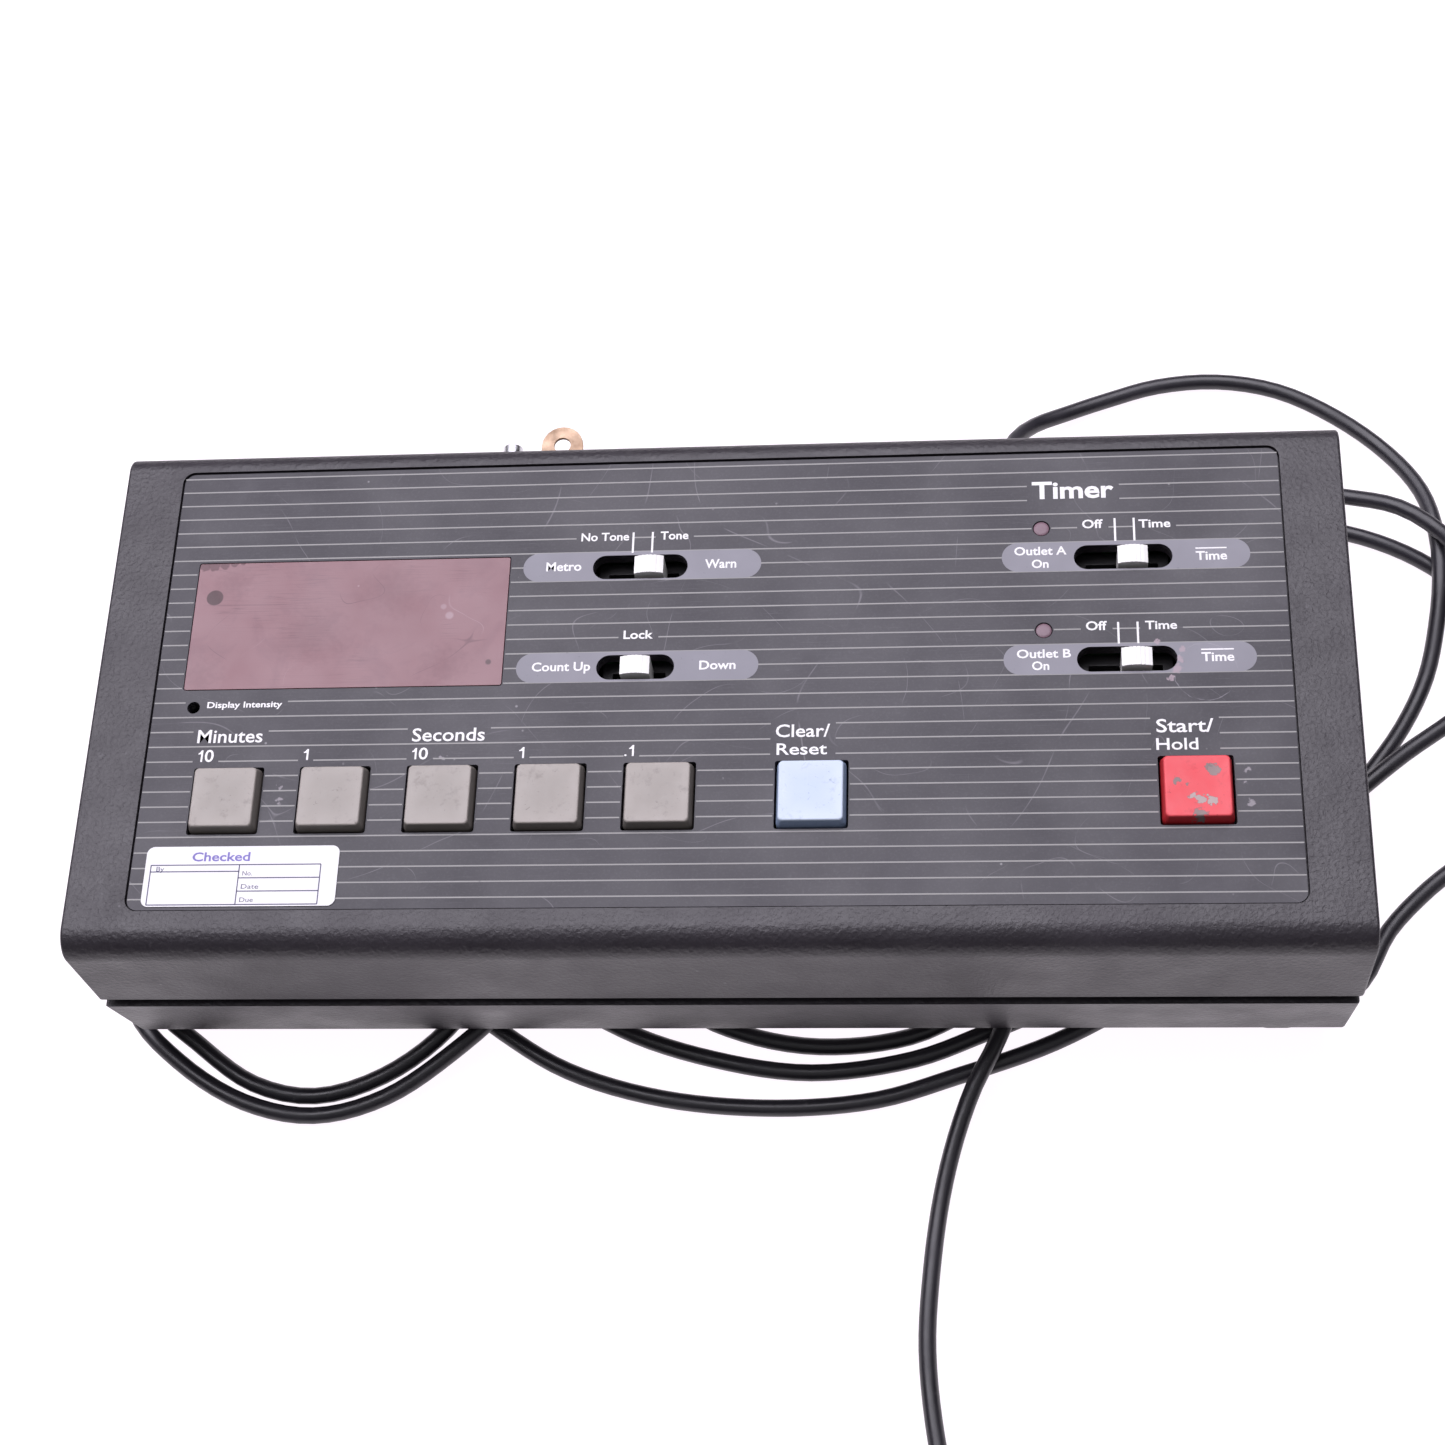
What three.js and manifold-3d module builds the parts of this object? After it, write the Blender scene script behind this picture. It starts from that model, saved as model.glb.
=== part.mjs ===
// A bench timer for laboratory and darkroom work: a low two-part case with a recessed printed panel,
// sprung square keys, slide switches, a red display window and a thin lead looped under the case.
// Millimetres, +Z up, +X to the operator's right, +Y to the back, standing on Z = 0.
import * as THREE from 'three';
import { mergeVertices } from 'three/addons/utils/BufferGeometryUtils.js';
import Module from 'manifold-3d';

const wasm = await Module();
wasm.setup();

// ---------- Driving dimensions ----------
const clearance = 0.3; // between pieces that touch or slide

// Case: a top shell over a base tray, parted by an open seam.
const caseWidth = 295.6;
const caseDepth = 133.8; // top shell, at the seam
const footHeight = 10;
const baseHeight = 26.5;
const seamGap = 3;
const shellHeight = 30.5;
const wall = 2.6;
const shellDraft = 0.9; // how far the shell's front and back lean in, from the seam up
const baseDraft = 3; // how far the base's front and back lean in, from the seam down
const baseProud = 0.7; // the base stands this far in front of the shell
const baseEndInset = 0.6;
const frontRoll = 6.5;
const backRoll = 5;
const endBevel = 0.8;
const seamLipHeight = 6;
const seamLipWall = 2;

// Panel: a printed plate let into the top.
const sideBorder = 14.7;
const frontBorder = 11.2;
const backBorder = 7.2;
const panelThickness = 0.8;
const panelBelowTop = 0.6;
const panelCorner = 2.7;
const roofThickness = 2.5;

// Display.
const windowWidth = 76.7;
const windowDepth = 34.1;
const windowFromLeft = 6.8;
const windowFromBack = 25.3;
const windowLedge = 2.2; // the shell's rim under the window's edge
const windowThickness = 0.8;
const digitCount = 5;
const digitHeight = 20;

// Keys, in one row.
const keyPitch = 25.4;
const keyWidth = 15.9;
const keyTopWidth = 14.2;
const keyRise = 2.6; // above the panel
const keyHeight = 7.6;
const keyTravel = 3;
const keyWall = 0.9;
const keyHoleGap = 0.45;
const keyRowFromFront = 27.1;
const firstKeyFromLeft = 20.4;
const clearKeyOffset = 35; // from the last digit key
const startKeyFromRight = 22.8;
const keySwitchWidth = 11.6;
const keyStemWidth = 3.4;

// Slide switches.
const detentPitch = 4.4;
const knobWidth = 6.95;
const knobDepth = 4.7;
const knobRise = 1.8; // above the panel, at the crown
const knobCrown = 0.7;
const slotDepth = 6.3;
const slotEndGap = 1.3; // keeps the knob's corners off the slot's round ends
const knobStemWidth = 2.6;

// Small fittings in the panel.
const lensRadius = 1.85;
const trimmerHoleRadius = 1.5;
const rotorRadius = 2.2;
const labelWidth = 45.5;
const labelDepth = 14.8;
const labelThickness = 0.15;

// Inside.
const boardThickness = 1.6;
const boardDrop = 12.3; // from the roof's underside to the top of the panel board
const cornerPostRadius = 4.5;
const cornerBossRadius = 5;
const cornerPostFromWall = 8; // from the shell's inside faces to the posts' middles
const screwHoleRadius = 2.1;
const screwHeadRadius = 3.3;

// Feet, back fittings and lead.
const footRadius = 8;
const footInset = 11.8; // from the ends
const footFromSide = 22.9; // from the front and back
const leadDiameter = 4.2;
const reliefLength = 20;
const lugWidth = 10.4;
const lugReach = 10.2; // from the back of the shell
const lugFromTop = 10; // from the case's top
const lugFromLeft = 107.1;
const lugScrewFromLeft = 93.8;
const outletWidth = 30;
const outletFromSeam = 1.5;
const outletFromTop = 9.6; // from the case's top
const outletHeight = shellHeight - outletFromSeam - outletFromTop;
const outletPlateThickness = 2;
const outletDepth = 17; // behind the wall's outer face
const bladeSpacing = 12.7;
const bladeWidth = 6.35;
const bladeThickness = 1.5;
const bladeLength = 16;

// ---------- Levels and edges worked out from them ----------
const baseBottom = footHeight;
const baseTop = baseBottom + baseHeight;
const shellBottom = baseTop + seamGap;
const caseTop = shellBottom + shellHeight;
const panelTop = caseTop - panelBelowTop;
const panelBottom = panelTop - panelThickness;
const recessFloor = panelBottom - 0.2;
const roof = recessFloor - roofThickness;
const boardTop = roof - boardDrop;
const boardBottom = boardTop - boardThickness;
const mountLevel = boardTop + clearance;
const baseFloor = baseBottom + 3;
const halfWidth = caseWidth / 2;
const halfDepth = caseDepth / 2;

const panelWidth = caseWidth - 2 * sideBorder;
const panelDepth = caseDepth - frontBorder - backBorder;
const panelLeft = -panelWidth / 2;
const panelRight = panelWidth / 2;
const panelFront = -halfDepth + frontBorder;
const panelBack = panelFront + panelDepth;
const panelMiddle = (panelFront + panelBack) / 2;
const shellBackLean = Math.atan(shellDraft / (shellHeight - backRoll));
const baseBackLean = Math.atan(baseDraft / baseHeight);

const keyRow = panelFront + keyRowFromFront;
const keyHole = keyWidth + 2 * keyHoleGap;
const firstKey = panelLeft + firstKeyFromLeft;
const lastDigitKey = firstKey + 4 * keyPitch;
const KEYS = [
  { name: 'minutes_10', x: firstKey, color: 0x6f6a68 },
  { name: 'minutes_1', x: firstKey + keyPitch, color: 0x6f6a68 },
  { name: 'seconds_10', x: firstKey + 2 * keyPitch, color: 0x6f6a68 },
  { name: 'seconds_1', x: firstKey + 3 * keyPitch, color: 0x6f6a68 },
  { name: 'tenths', x: lastDigitKey, color: 0x6f6a68 },
  { name: 'clear', x: lastDigitKey + clearKeyOffset, color: 0x86a6d8 },
  { name: 'start', x: panelRight - startKeyFromRight, color: 0xd8232c },
];

// Each switch: centre, number of detents, and the detent it rests in, counted from the left.
const SWITCHES = [
  { name: 'tone', x: panelLeft + 115.1, y: panelBack - 28.6, detents: 4, rest: 2 },
  { name: 'count', x: panelLeft + 115.1, y: panelBack - 55.3, detents: 3, rest: 1 },
  { name: 'outlet_a', x: panelRight - 37.1, y: panelBack - 28.6, detents: 4, rest: 2 },
  { name: 'outlet_b', x: panelRight - 37.1, y: panelBack - 55.3, detents: 4, rest: 2 },
];
const LENSES = [
  { name: 'a', x: panelRight - 55.9, y: panelBack - 20.6 },
  { name: 'b', x: panelRight - 55.9, y: panelBack - 47.6 },
];
const TRIMMER = { x: panelLeft + 9.8, y: panelBack - 64.1 };
const WINDOW = {
  x: panelLeft + windowFromLeft + windowWidth / 2,
  y: panelBack - windowFromBack - windowDepth / 2,
};
const LABEL = { x: panelLeft + 26.2, y: panelFront + 8.2 };
const CORNERS = [[-1, -1], [1, -1], [-1, 1], [1, 1]];

// ---------- Shapes ----------
function roundedRectangle(width, depth, radius) {
  const x = width / 2;
  const y = depth / 2;
  const shape = new THREE.Shape();
  shape.absarc(x - radius, y - radius, radius, 0, Math.PI / 2);
  shape.absarc(-x + radius, y - radius, radius, Math.PI / 2, Math.PI);
  shape.absarc(-x + radius, -y + radius, radius, Math.PI, 1.5 * Math.PI);
  shape.absarc(x - radius, -y + radius, radius, 1.5 * Math.PI, 2 * Math.PI);
  return shape;
}

function prism(shape, bottom, top, { bevel = 0, curveSegments = 2, bevelSegments = 2 } = {}) {
  const geometry = new THREE.ExtrudeGeometry(shape, {
    depth: top - bottom - 2 * bevel,
    bevelEnabled: bevel > 0,
    bevelThickness: bevel,
    bevelSize: bevel,
    bevelOffset: -bevel,
    bevelSegments,
    curveSegments,
  });
  return geometry.translate(0, 0, bottom + bevel);
}

// Extrudes a side outline, drawn as (y, z), along X.
function alongX(outline, left, right, bevel, curveSegments) {
  const geometry = prism(outline, left, right, { bevel, curveSegments });
  const turn = new THREE.Matrix4().makeBasis(
    new THREE.Vector3(0, 1, 0),
    new THREE.Vector3(0, 0, 1),
    new THREE.Vector3(1, 0, 0),
  );
  return geometry.applyMatrix4(turn);
}

function block(left, right, front, back, bottom, top) {
  const geometry = new THREE.BoxGeometry(right - left, back - front, top - bottom);
  return geometry.translate((left + right) / 2, (front + back) / 2, (bottom + top) / 2);
}

function centredBlock(x, y, width, depth, bottom, top) {
  return block(x - width / 2, x + width / 2, y - depth / 2, y + depth / 2, bottom, top);
}

function post(x, y, radius, bottom, top, segments = 16) {
  const geometry = new THREE.CylinderGeometry(radius, radius, top - bottom, segments);
  return geometry.rotateX(Math.PI / 2).translate(x, y, (bottom + top) / 2);
}

// Turns an outline of [radius, height] pairs around a vertical axis.
function turned(outline, x, y, segments = 16) {
  const points = outline.map(([radius, height]) => new THREE.Vector2(radius, height));
  return new THREE.LatheGeometry(points, segments).rotateX(Math.PI / 2).translate(x, y, 0);
}

// Narrows a geometry in X and Y from full size at the bottom to a ratio at the top.
function taper(geometry, bottom, top, ratio) {
  const position = geometry.attributes.position;
  for (let i = 0; i < position.count; i += 1) {
    const height = (position.getZ(i) - bottom) / (top - bottom);
    const scale = 1 + (ratio - 1) * height;
    position.setXY(i, position.getX(i) * scale, position.getY(i) * scale);
  }
  return geometry;
}

// ---------- Joining and cutting ----------
function toSolid(geometry) {
  const bare = geometry.clone();
  bare.deleteAttribute('normal');
  bare.deleteAttribute('uv');
  const merged = mergeVertices(bare);
  return new wasm.Manifold(new wasm.Mesh({
    numProp: 3,
    vertProperties: new Float32Array(merged.attributes.position.array),
    triVerts: new Uint32Array(merged.index.array),
  }));
}

function toGeometry(solid) {
  const mesh = solid.getMesh();
  const geometry = new THREE.BufferGeometry();
  geometry.setAttribute('position', new THREE.BufferAttribute(mesh.vertProperties, 3));
  geometry.setIndex(new THREE.BufferAttribute(mesh.triVerts, 1));
  return geometry;
}

// Joins the pieces of one part, then cuts the tools out of it.
function built(pieces, tools = []) {
  let solid = toSolid(pieces[0]);
  for (const piece of pieces.slice(1)) solid = solid.add(toSolid(piece));
  for (const tool of tools) solid = solid.subtract(toSolid(tool));
  return toGeometry(solid);
}

const timer = new THREE.Group();

function addPart(name, geometry, { color, roughness = 0.5, metalness = 0, opacity = 1 }, parent = timer) {
  const material = new THREE.MeshStandardMaterial({
    color, roughness, metalness, opacity, transparent: opacity < 1,
  });
  const mesh = new THREE.Mesh(geometry, material);
  mesh.name = name;
  geometry.computeVertexNormals();
  parent.add(mesh);
  return mesh;
}

const CASE_PLASTIC = { color: 0x3f3b3f, roughness: 0.55 };
const PANEL_PRINT = { color: 0x48444a, roughness: 0.45 };
const WHITE_PLASTIC = { color: 0xe9e6e2, roughness: 0.4 };
const BLACK_PLASTIC = { color: 0x1d1c1f, roughness: 0.5 };
const RUBBER = { color: 0x242326, roughness: 0.8 };
const CIRCUIT_BOARD = { color: 0x2c5a34, roughness: 0.6 };
const STEEL = { color: 0xb8b8ba, roughness: 0.35, metalness: 1 };
const BRASS = { color: 0xc9a168, roughness: 0.4, metalness: 1 };

// ---------- Holes that the panel and the shell share ----------
function switchTravel(slide) {
  return (slide.detents - 1) * detentPitch;
}

function panelHoles(bottom, top) {
  const holes = KEYS.map(({ x }) => {
    const hole = roundedRectangle(keyHole, keyHole, 0.6);
    return prism(hole, bottom, top, { curveSegments: 1 }).translate(x, keyRow, 0);
  });
  for (const slide of SWITCHES) {
    const length = switchTravel(slide) + knobWidth + 2 * slotEndGap;
    const slot = roundedRectangle(length, slotDepth, slotDepth / 2 - 0.01);
    holes.push(prism(slot, bottom, top, { curveSegments: 3 }).translate(slide.x, slide.y, 0));
  }
  for (const { x, y } of LENSES) holes.push(post(x, y, lensRadius + 0.15, bottom, top));
  holes.push(post(TRIMMER.x, TRIMMER.y, trimmerHoleRadius, bottom, top, 12));
  return holes;
}

// ---------- Top shell ----------
const cornerPostX = halfWidth - wall - cornerPostFromWall;
const cornerPostY = halfDepth - wall - cornerPostFromWall;
const postJoint = baseTop - 6.5; // where the shell's corner posts meet the base's

const boardLeft = panelLeft + 1;
const boardRight = panelRight - 1;
const boardFront = panelFront + 4;
const boardBack = panelBack - 14;
const BOARD_PINS = [];
for (const x of [boardLeft + 5, boardRight - 5]) {
  for (const y of [boardFront + 5, boardBack - 5]) BOARD_PINS.push([x, y]);
}
const OUTLETS = [
  { name: 'outlet_socket_a', x: -halfWidth + 49.8 },
  { name: 'outlet_socket_b', x: -halfWidth + 155.8 },
];
const outletLevel = outletFromSeam + outletHeight / 2; // above the seam, up the shell's back
const outletBodyWidth = outletWidth - 4.6;
const outletBodyHeight = outletHeight - 4;

function shellOutline() {
  const top = halfDepth - shellDraft;
  const outline = new THREE.Shape();
  outline.moveTo(-halfDepth, shellBottom);
  outline.lineTo(-top, caseTop - frontRoll);
  outline.absarc(-top + frontRoll, caseTop - frontRoll, frontRoll, Math.PI, Math.PI / 2, true);
  outline.lineTo(top - backRoll, caseTop);
  outline.absarc(top - backRoll, caseTop - backRoll, backRoll, Math.PI / 2, 0, true);
  outline.lineTo(halfDepth, shellBottom);
  return outline;
}

// Moves a geometry drawn about the foot of the shell's leaning back, with +Y out of it, onto that back.
function onShellBack(geometry) {
  return geometry.rotateX(shellBackLean).translate(0, halfDepth, shellBottom);
}

function topShell() {
  const innerX = halfWidth - wall;
  const innerY = halfDepth - shellDraft - wall;
  const shell = [
    alongX(shellOutline(), -halfWidth, halfWidth, endBevel, 5),
  ];
  const hollow = block(-innerX, innerX, -innerY, innerY, shellBottom - 1, roof);
  const recess = prism(
    roundedRectangle(panelWidth + 2 * clearance, panelDepth + 2 * clearance, panelCorner + clearance),
    recessFloor, caseTop + 1,
  ).translate(0, panelMiddle, 0);
  const windowHole = centredBlock(
    WINDOW.x, WINDOW.y, windowWidth - 2 * windowLedge, windowDepth - 2 * windowLedge, roof - 1, caseTop,
  );
  const outletHoles = OUTLETS.map(({ x }) => onShellBack(centredBlock(
    x, 0, outletBodyWidth + 2 * clearance, 4 * wall,
    outletLevel - outletBodyHeight / 2 - clearance, outletLevel + outletBodyHeight / 2 + clearance,
  )));
  const openings = [hollow, recess, windowHole, ...outletHoles, ...panelHoles(roof - 1, caseTop)];
  const hollowShell = built(shell, openings);
  const posts = CORNERS.map(([sx, sy]) => post(
    sx * cornerPostX, sy * cornerPostY, cornerPostRadius, postJoint + clearance, roof + 1,
  ));
  for (const [x, y] of BOARD_PINS) {
    posts.push(post(x, y, 3, boardTop + clearance, roof + 1));
    posts.push(post(x, y, 1.2, boardBottom - 1, roof + 1, 12));
  }
  const screwHoles = CORNERS.map(([sx, sy]) => post(
    sx * cornerPostX, sy * cornerPostY, screwHoleRadius, postJoint - 1, postJoint + 16,
  ));
  return built([hollowShell, ...posts], screwHoles);
}

addPart('top_shell', topShell(), CASE_PLASTIC);

// ---------- Base ----------
const reliefX = 70;
const reliefLevel = baseBottom + 7;
const reliefNeckRadius = 3.9;
const FEET = CORNERS.map(([sx, sy]) => [sx * (halfWidth - footInset), sy * (halfDepth - footFromSide)]);
const footStemRadius = 2.4;
const powerBoard = { left: -40, right: 130, front: -40, back: 40, level: baseFloor + 5 };
const POWER_BOARD_POSTS = [];
for (const x of [powerBoard.left + 6, powerBoard.right - 6]) {
  for (const y of [powerBoard.front + 6, powerBoard.back - 6]) POWER_BOARD_POSTS.push([x, y]);
}

function baseOutline() {
  const top = halfDepth + baseProud;
  const bottom = top - baseDraft;
  const outline = new THREE.Shape();
  outline.moveTo(-bottom, baseBottom);
  outline.lineTo(-top, baseTop);
  outline.lineTo(top, baseTop);
  outline.lineTo(bottom, baseBottom);
  return outline;
}

function base() {
  const endX = halfWidth - baseEndInset;
  const lipX = halfWidth - wall - 0.4;
  const lipY = halfDepth - wall - 0.4 - shellDraft;
  const lowerX = endX - wall;
  const lowerY = halfDepth + baseProud - baseDraft - wall;
  const ledge = baseTop - 4;
  const tray = [
    alongX(baseOutline(), -endX, endX, endBevel, 1),
    block(-lipX, lipX, -lipY, lipY, ledge, baseTop + seamLipHeight),
  ];
  const hollows = [
    block(-lowerX, lowerX, -lowerY, lowerY, baseFloor, ledge),
    block(
      -lipX + seamLipWall, lipX - seamLipWall, -lipY + seamLipWall, lipY - seamLipWall,
      ledge - 1, baseTop + seamLipHeight + 1,
    ),
  ];
  const bosses = [built(tray, hollows)];
  const holes = [];
  for (const [sx, sy] of CORNERS) {
    const x = sx * cornerPostX;
    const y = sy * cornerPostY;
    bosses.push(post(x, y, cornerBossRadius, baseFloor - 1, postJoint));
    holes.push(post(x, y, screwHoleRadius, baseBottom - 1, postJoint + 1));
    holes.push(post(x, y, screwHeadRadius + 0.6, baseBottom - 1, baseBottom + 3.2));
  }
  const footHole = footStemRadius + clearance;
  for (const [x, y] of FEET) holes.push(post(x, y, footHole, baseBottom - 1, baseFloor + 1));
  for (const [x, y] of POWER_BOARD_POSTS) {
    bosses.push(post(x, y, 3, baseFloor - 1, powerBoard.level - clearance));
    bosses.push(post(x, y, 1.2, baseFloor - 1, powerBoard.level + boardThickness + 1, 12));
  }
  holes.push(reliefHole());
  return built(bosses, holes);
}

// Moves a geometry drawn about the relief's seat, with +Y out of the base's leaning back, onto that back.
function onBaseBack(geometry) {
  const y = halfDepth + baseProud - (baseTop - reliefLevel) * Math.tan(baseBackLean);
  return geometry.rotateX(-baseBackLean).translate(reliefX, y, reliefLevel);
}

function reliefHole() {
  const radius = reliefNeckRadius + clearance;
  return onBaseBack(new THREE.CylinderGeometry(radius, radius, 6 * wall, 16));
}

addPart('base_shell', base(), CASE_PLASTIC);

function foot(x, y) {
  const top = baseBottom - clearance;
  return turned([
    [0, 0], [footRadius - 1.2, 0], [footRadius - 0.2, 1], [footRadius, 2.2], [footRadius - 0.8, top],
    [footStemRadius, top], [footStemRadius, baseFloor + 1.5], [0, baseFloor + 1.5],
  ], x, y, 20);
}

const CORNER_NAMES = ['front_left', 'front_right', 'back_left', 'back_right'];
FEET.forEach(([x, y], index) => addPart(`foot_${CORNER_NAMES[index]}`, foot(x, y), RUBBER));

function caseScrew(x, y) {
  const head = baseBottom + 0.6;
  const body = turned([
    [0, head], [screwHeadRadius - 0.6, head], [screwHeadRadius, head + 0.7], [screwHeadRadius, head + 2.3],
    [1.6, head + 2.3], [1.6, postJoint + 11], [0.8, postJoint + 12.5], [0, postJoint + 12.5],
  ], x, y);
  const cross = [
    centredBlock(x, y, 3.6, 0.9, head - 1, head + 1.2),
    centredBlock(x, y, 0.9, 3.6, head - 1, head + 1.2),
  ];
  return built([body], cross);
}

CORNERS.forEach(([sx, sy], index) => addPart(
  `case_screw_${CORNER_NAMES[index]}`, caseScrew(sx * cornerPostX, sy * cornerPostY), STEEL,
));

// ---------- Panel, window, lenses and label ----------
function overlayPanel() {
  const plate = prism(roundedRectangle(panelWidth, panelDepth, panelCorner), panelBottom, panelTop)
    .translate(0, panelMiddle, 0);
  const opening = prism(
    roundedRectangle(windowWidth + 2 * clearance, windowDepth + 2 * clearance, 0.8),
    panelBottom - 1, panelTop + 1,
  ).translate(WINDOW.x, WINDOW.y, 0);
  return built([plate], [opening, ...panelHoles(panelBottom - 1, panelTop + 1)]);
}

addPart('overlay_panel', overlayPanel(), PANEL_PRINT);

addPart(
  'display_window',
  prism(roundedRectangle(windowWidth, windowDepth, 0.5), panelTop - windowThickness, panelTop)
    .translate(WINDOW.x, WINDOW.y, 0),
  { color: 0x8d5f66, roughness: 0.35, opacity: 0.75 },
);

// Each status lens is a light pipe that stands on the board and shows in its hole in the panel.
const flangeRadius = lensRadius + 1;
for (const { name, x, y } of LENSES) {
  const lens = turned([
    [0, mountLevel], [lensRadius, mountLevel], [lensRadius, roof - 2], [flangeRadius, roof - 2],
    [flangeRadius, roof - clearance], [lensRadius, roof - clearance], [lensRadius, panelTop - 0.5],
    [lensRadius - 0.4, panelTop - 0.15], [0, panelTop],
  ], x, y);
  addPart(`status_lens_${name}`, lens, { color: 0x8a5a60, roughness: 0.3, opacity: 0.8 });
}

addPart(
  'asset_label',
  prism(roundedRectangle(labelWidth, labelDepth, 1.8), panelTop + 0.1, panelTop + 0.1 + labelThickness)
    .translate(LABEL.x, LABEL.y, 0),
  { color: 0xf3f2f4, roughness: 0.5 },
);

// ---------- Panel board and what it carries ----------
function panelBoard() {
  const plate = block(boardLeft, boardRight, boardFront, boardBack, boardBottom, boardTop);
  const holes = BOARD_PINS.map(([x, y]) => post(x, y, 1.5, boardBottom - 1, boardTop + 1, 12));
  return built([plate], holes);
}

addPart('panel_board', panelBoard(), CIRCUIT_BOARD);

function displayModule() {
  const width = windowWidth - 6;
  const depth = windowDepth - 8;
  const top = mountLevel + 9;
  const digitPitch = width / digitCount;
  const body = centredBlock(WINDOW.x, WINDOW.y, width, depth, mountLevel, top);
  const pockets = [];
  for (let digit = 0; digit < digitCount; digit += 1) {
    const x = WINDOW.x + (digit - (digitCount - 1) / 2) * digitPitch;
    pockets.push(centredBlock(x, WINDOW.y, digitPitch - 1.6, digitHeight, top - 0.5, top + 1));
  }
  return built([body], pockets);
}

addPart('display_module', displayModule(), { color: 0x2a1517, roughness: 0.4 });

// A key: a hollow cap with a stem that runs in its switch.
const keyBottom = panelTop + keyRise - keyHeight;
const keyTop = panelTop + keyRise;
const stemBottom = mountLevel + 0.8 + keyTravel + 0.5;

function keycap() {
  const cap = taper(
    prism(roundedRectangle(keyWidth, keyWidth, 0.9), keyBottom, keyTop, { bevel: 0.45 }),
    keyBottom, keyTop, keyTopWidth / keyWidth,
  );
  const inside = keyTopWidth - 2 * keyWall;
  const hollow = centredBlock(0, 0, inside, inside, keyBottom - 1, keyTop - 1.6);
  const shell = built([cap], [hollow]);
  const stem = centredBlock(0, 0, keyStemWidth, keyStemWidth, stemBottom, keyTop - 1);
  return built([shell, stem]);
}

function keySwitch() {
  const top = keyBottom - keyTravel - 1;
  const body = centredBlock(0, 0, keySwitchWidth, keySwitchWidth, mountLevel, top);
  const guideWidth = keyStemWidth + 2 * clearance;
  return built([body], [centredBlock(0, 0, guideWidth, guideWidth, mountLevel + 0.8, top + 1)]);
}

for (const { name, x, color } of KEYS) {
  addPart(`key_${name}`, keycap(), { color, roughness: 0.45 }).position.set(x, keyRow, 0);
  addPart(`key_switch_${name}`, keySwitch(), BLACK_PLASTIC).position.set(x, keyRow, 0);
}

// A slide switch: a crowned knob on a stem, in a body on the board.
const knobTop = panelTop + knobRise;
const knobBottom = roof - 2.5;
const slideBodyTop = knobBottom - 0.8;
const knobStemBottom = slideBodyTop - 4;

function sliderKnob() {
  const half = knobWidth / 2;
  const crownRadius = (half * half + knobCrown * knobCrown) / (2 * knobCrown);
  const crownAngle = Math.asin(half / crownRadius);
  const outline = new THREE.Shape();
  outline.moveTo(-half, knobBottom);
  outline.lineTo(half, knobBottom);
  outline.absarc(0, knobTop - crownRadius, crownRadius, Math.PI / 2 - crownAngle, Math.PI / 2 + crownAngle);
  const knob = prism(outline, -knobDepth / 2, knobDepth / 2, { bevel: 0.4, curveSegments: 4 });
  knob.rotateX(Math.PI / 2);
  const stem = centredBlock(0, 0, knobStemWidth, 2.4, knobStemBottom, knobBottom + 1);
  return built([knob, stem]);
}

function slideBody(slide) {
  const slot = switchTravel(slide) + knobStemWidth + 1.2;
  const body = centredBlock(0, 0, slot + 5, 8.6, mountLevel, slideBodyTop);
  return built([body], [centredBlock(0, 0, slot, 3.2, knobStemBottom - 1, slideBodyTop + 1)]);
}

for (const slide of SWITCHES) {
  const fromMiddle = (slide.rest - (slide.detents - 1) / 2) * detentPitch;
  addPart(`slider_${slide.name}`, sliderKnob(), WHITE_PLASTIC).position.set(slide.x + fromMiddle, slide.y, 0);
  addPart(`slide_switch_${slide.name}`, slideBody(slide), BLACK_PLASTIC).position.set(slide.x, slide.y, 0);
}

// The display-intensity trimmer, turned with a screwdriver through its hole.
const trimmerTop = mountLevel + 5;

function trimmerBody() {
  const body = centredBlock(0, 0, 7, 7, mountLevel, trimmerTop);
  return built([body], [post(0, 0, rotorRadius + clearance, trimmerTop - 1.7, trimmerTop + 1)]);
}

function trimmerRotor() {
  const top = trimmerTop + 1;
  const rotor = post(0, 0, rotorRadius, trimmerTop - 1.4, top);
  return built([rotor], [centredBlock(0, 0, 3.4, 0.8, top - 0.7, top + 1)]);
}

addPart('intensity_trimmer', trimmerBody(), { color: 0x2d4f8f }).position.set(TRIMMER.x, TRIMMER.y, 0);
addPart('intensity_rotor', trimmerRotor(), WHITE_PLASTIC).position.set(TRIMMER.x, TRIMMER.y, 0);

// ---------- Power side, in the base ----------
const powerTop = powerBoard.level + boardThickness;
const powerMount = powerTop + clearance;

function powerPlate() {
  const { left, right, front, back, level } = powerBoard;
  const plate = block(left, right, front, back, level, powerTop);
  const holes = POWER_BOARD_POSTS.map(([x, y]) => post(x, y, 1.5, level - 1, powerTop + 1, 12));
  return built([plate], holes);
}

addPart('power_board', powerPlate(), CIRCUIT_BOARD);

const TRANSFORMER = { x: -90, y: 0, width: 48, stack: 18, height: 30, limb: 9, yoke: 6, coilDepth: 40 };

function transformerCore() {
  const { x, y, width, stack, height, limb, yoke } = TRANSFORMER;
  const bottom = baseFloor + clearance;
  const core = centredBlock(x, y, width, stack, bottom, bottom + height);
  const opening = centredBlock(x, y, width - 2 * limb, stack + 2, bottom + yoke, bottom + height - yoke);
  return built([core], [opening]);
}

function transformerCoil() {
  const { x, y, width, height, limb, yoke, coilDepth } = TRANSFORMER;
  const bottom = baseFloor + 2 * clearance + yoke;
  const top = baseFloor + height - yoke;
  const coil = prism(roundedRectangle(width - 2 * limb - 2 * clearance, coilDepth, 3), bottom, top);
  return coil.translate(x, y, 0);
}

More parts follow.
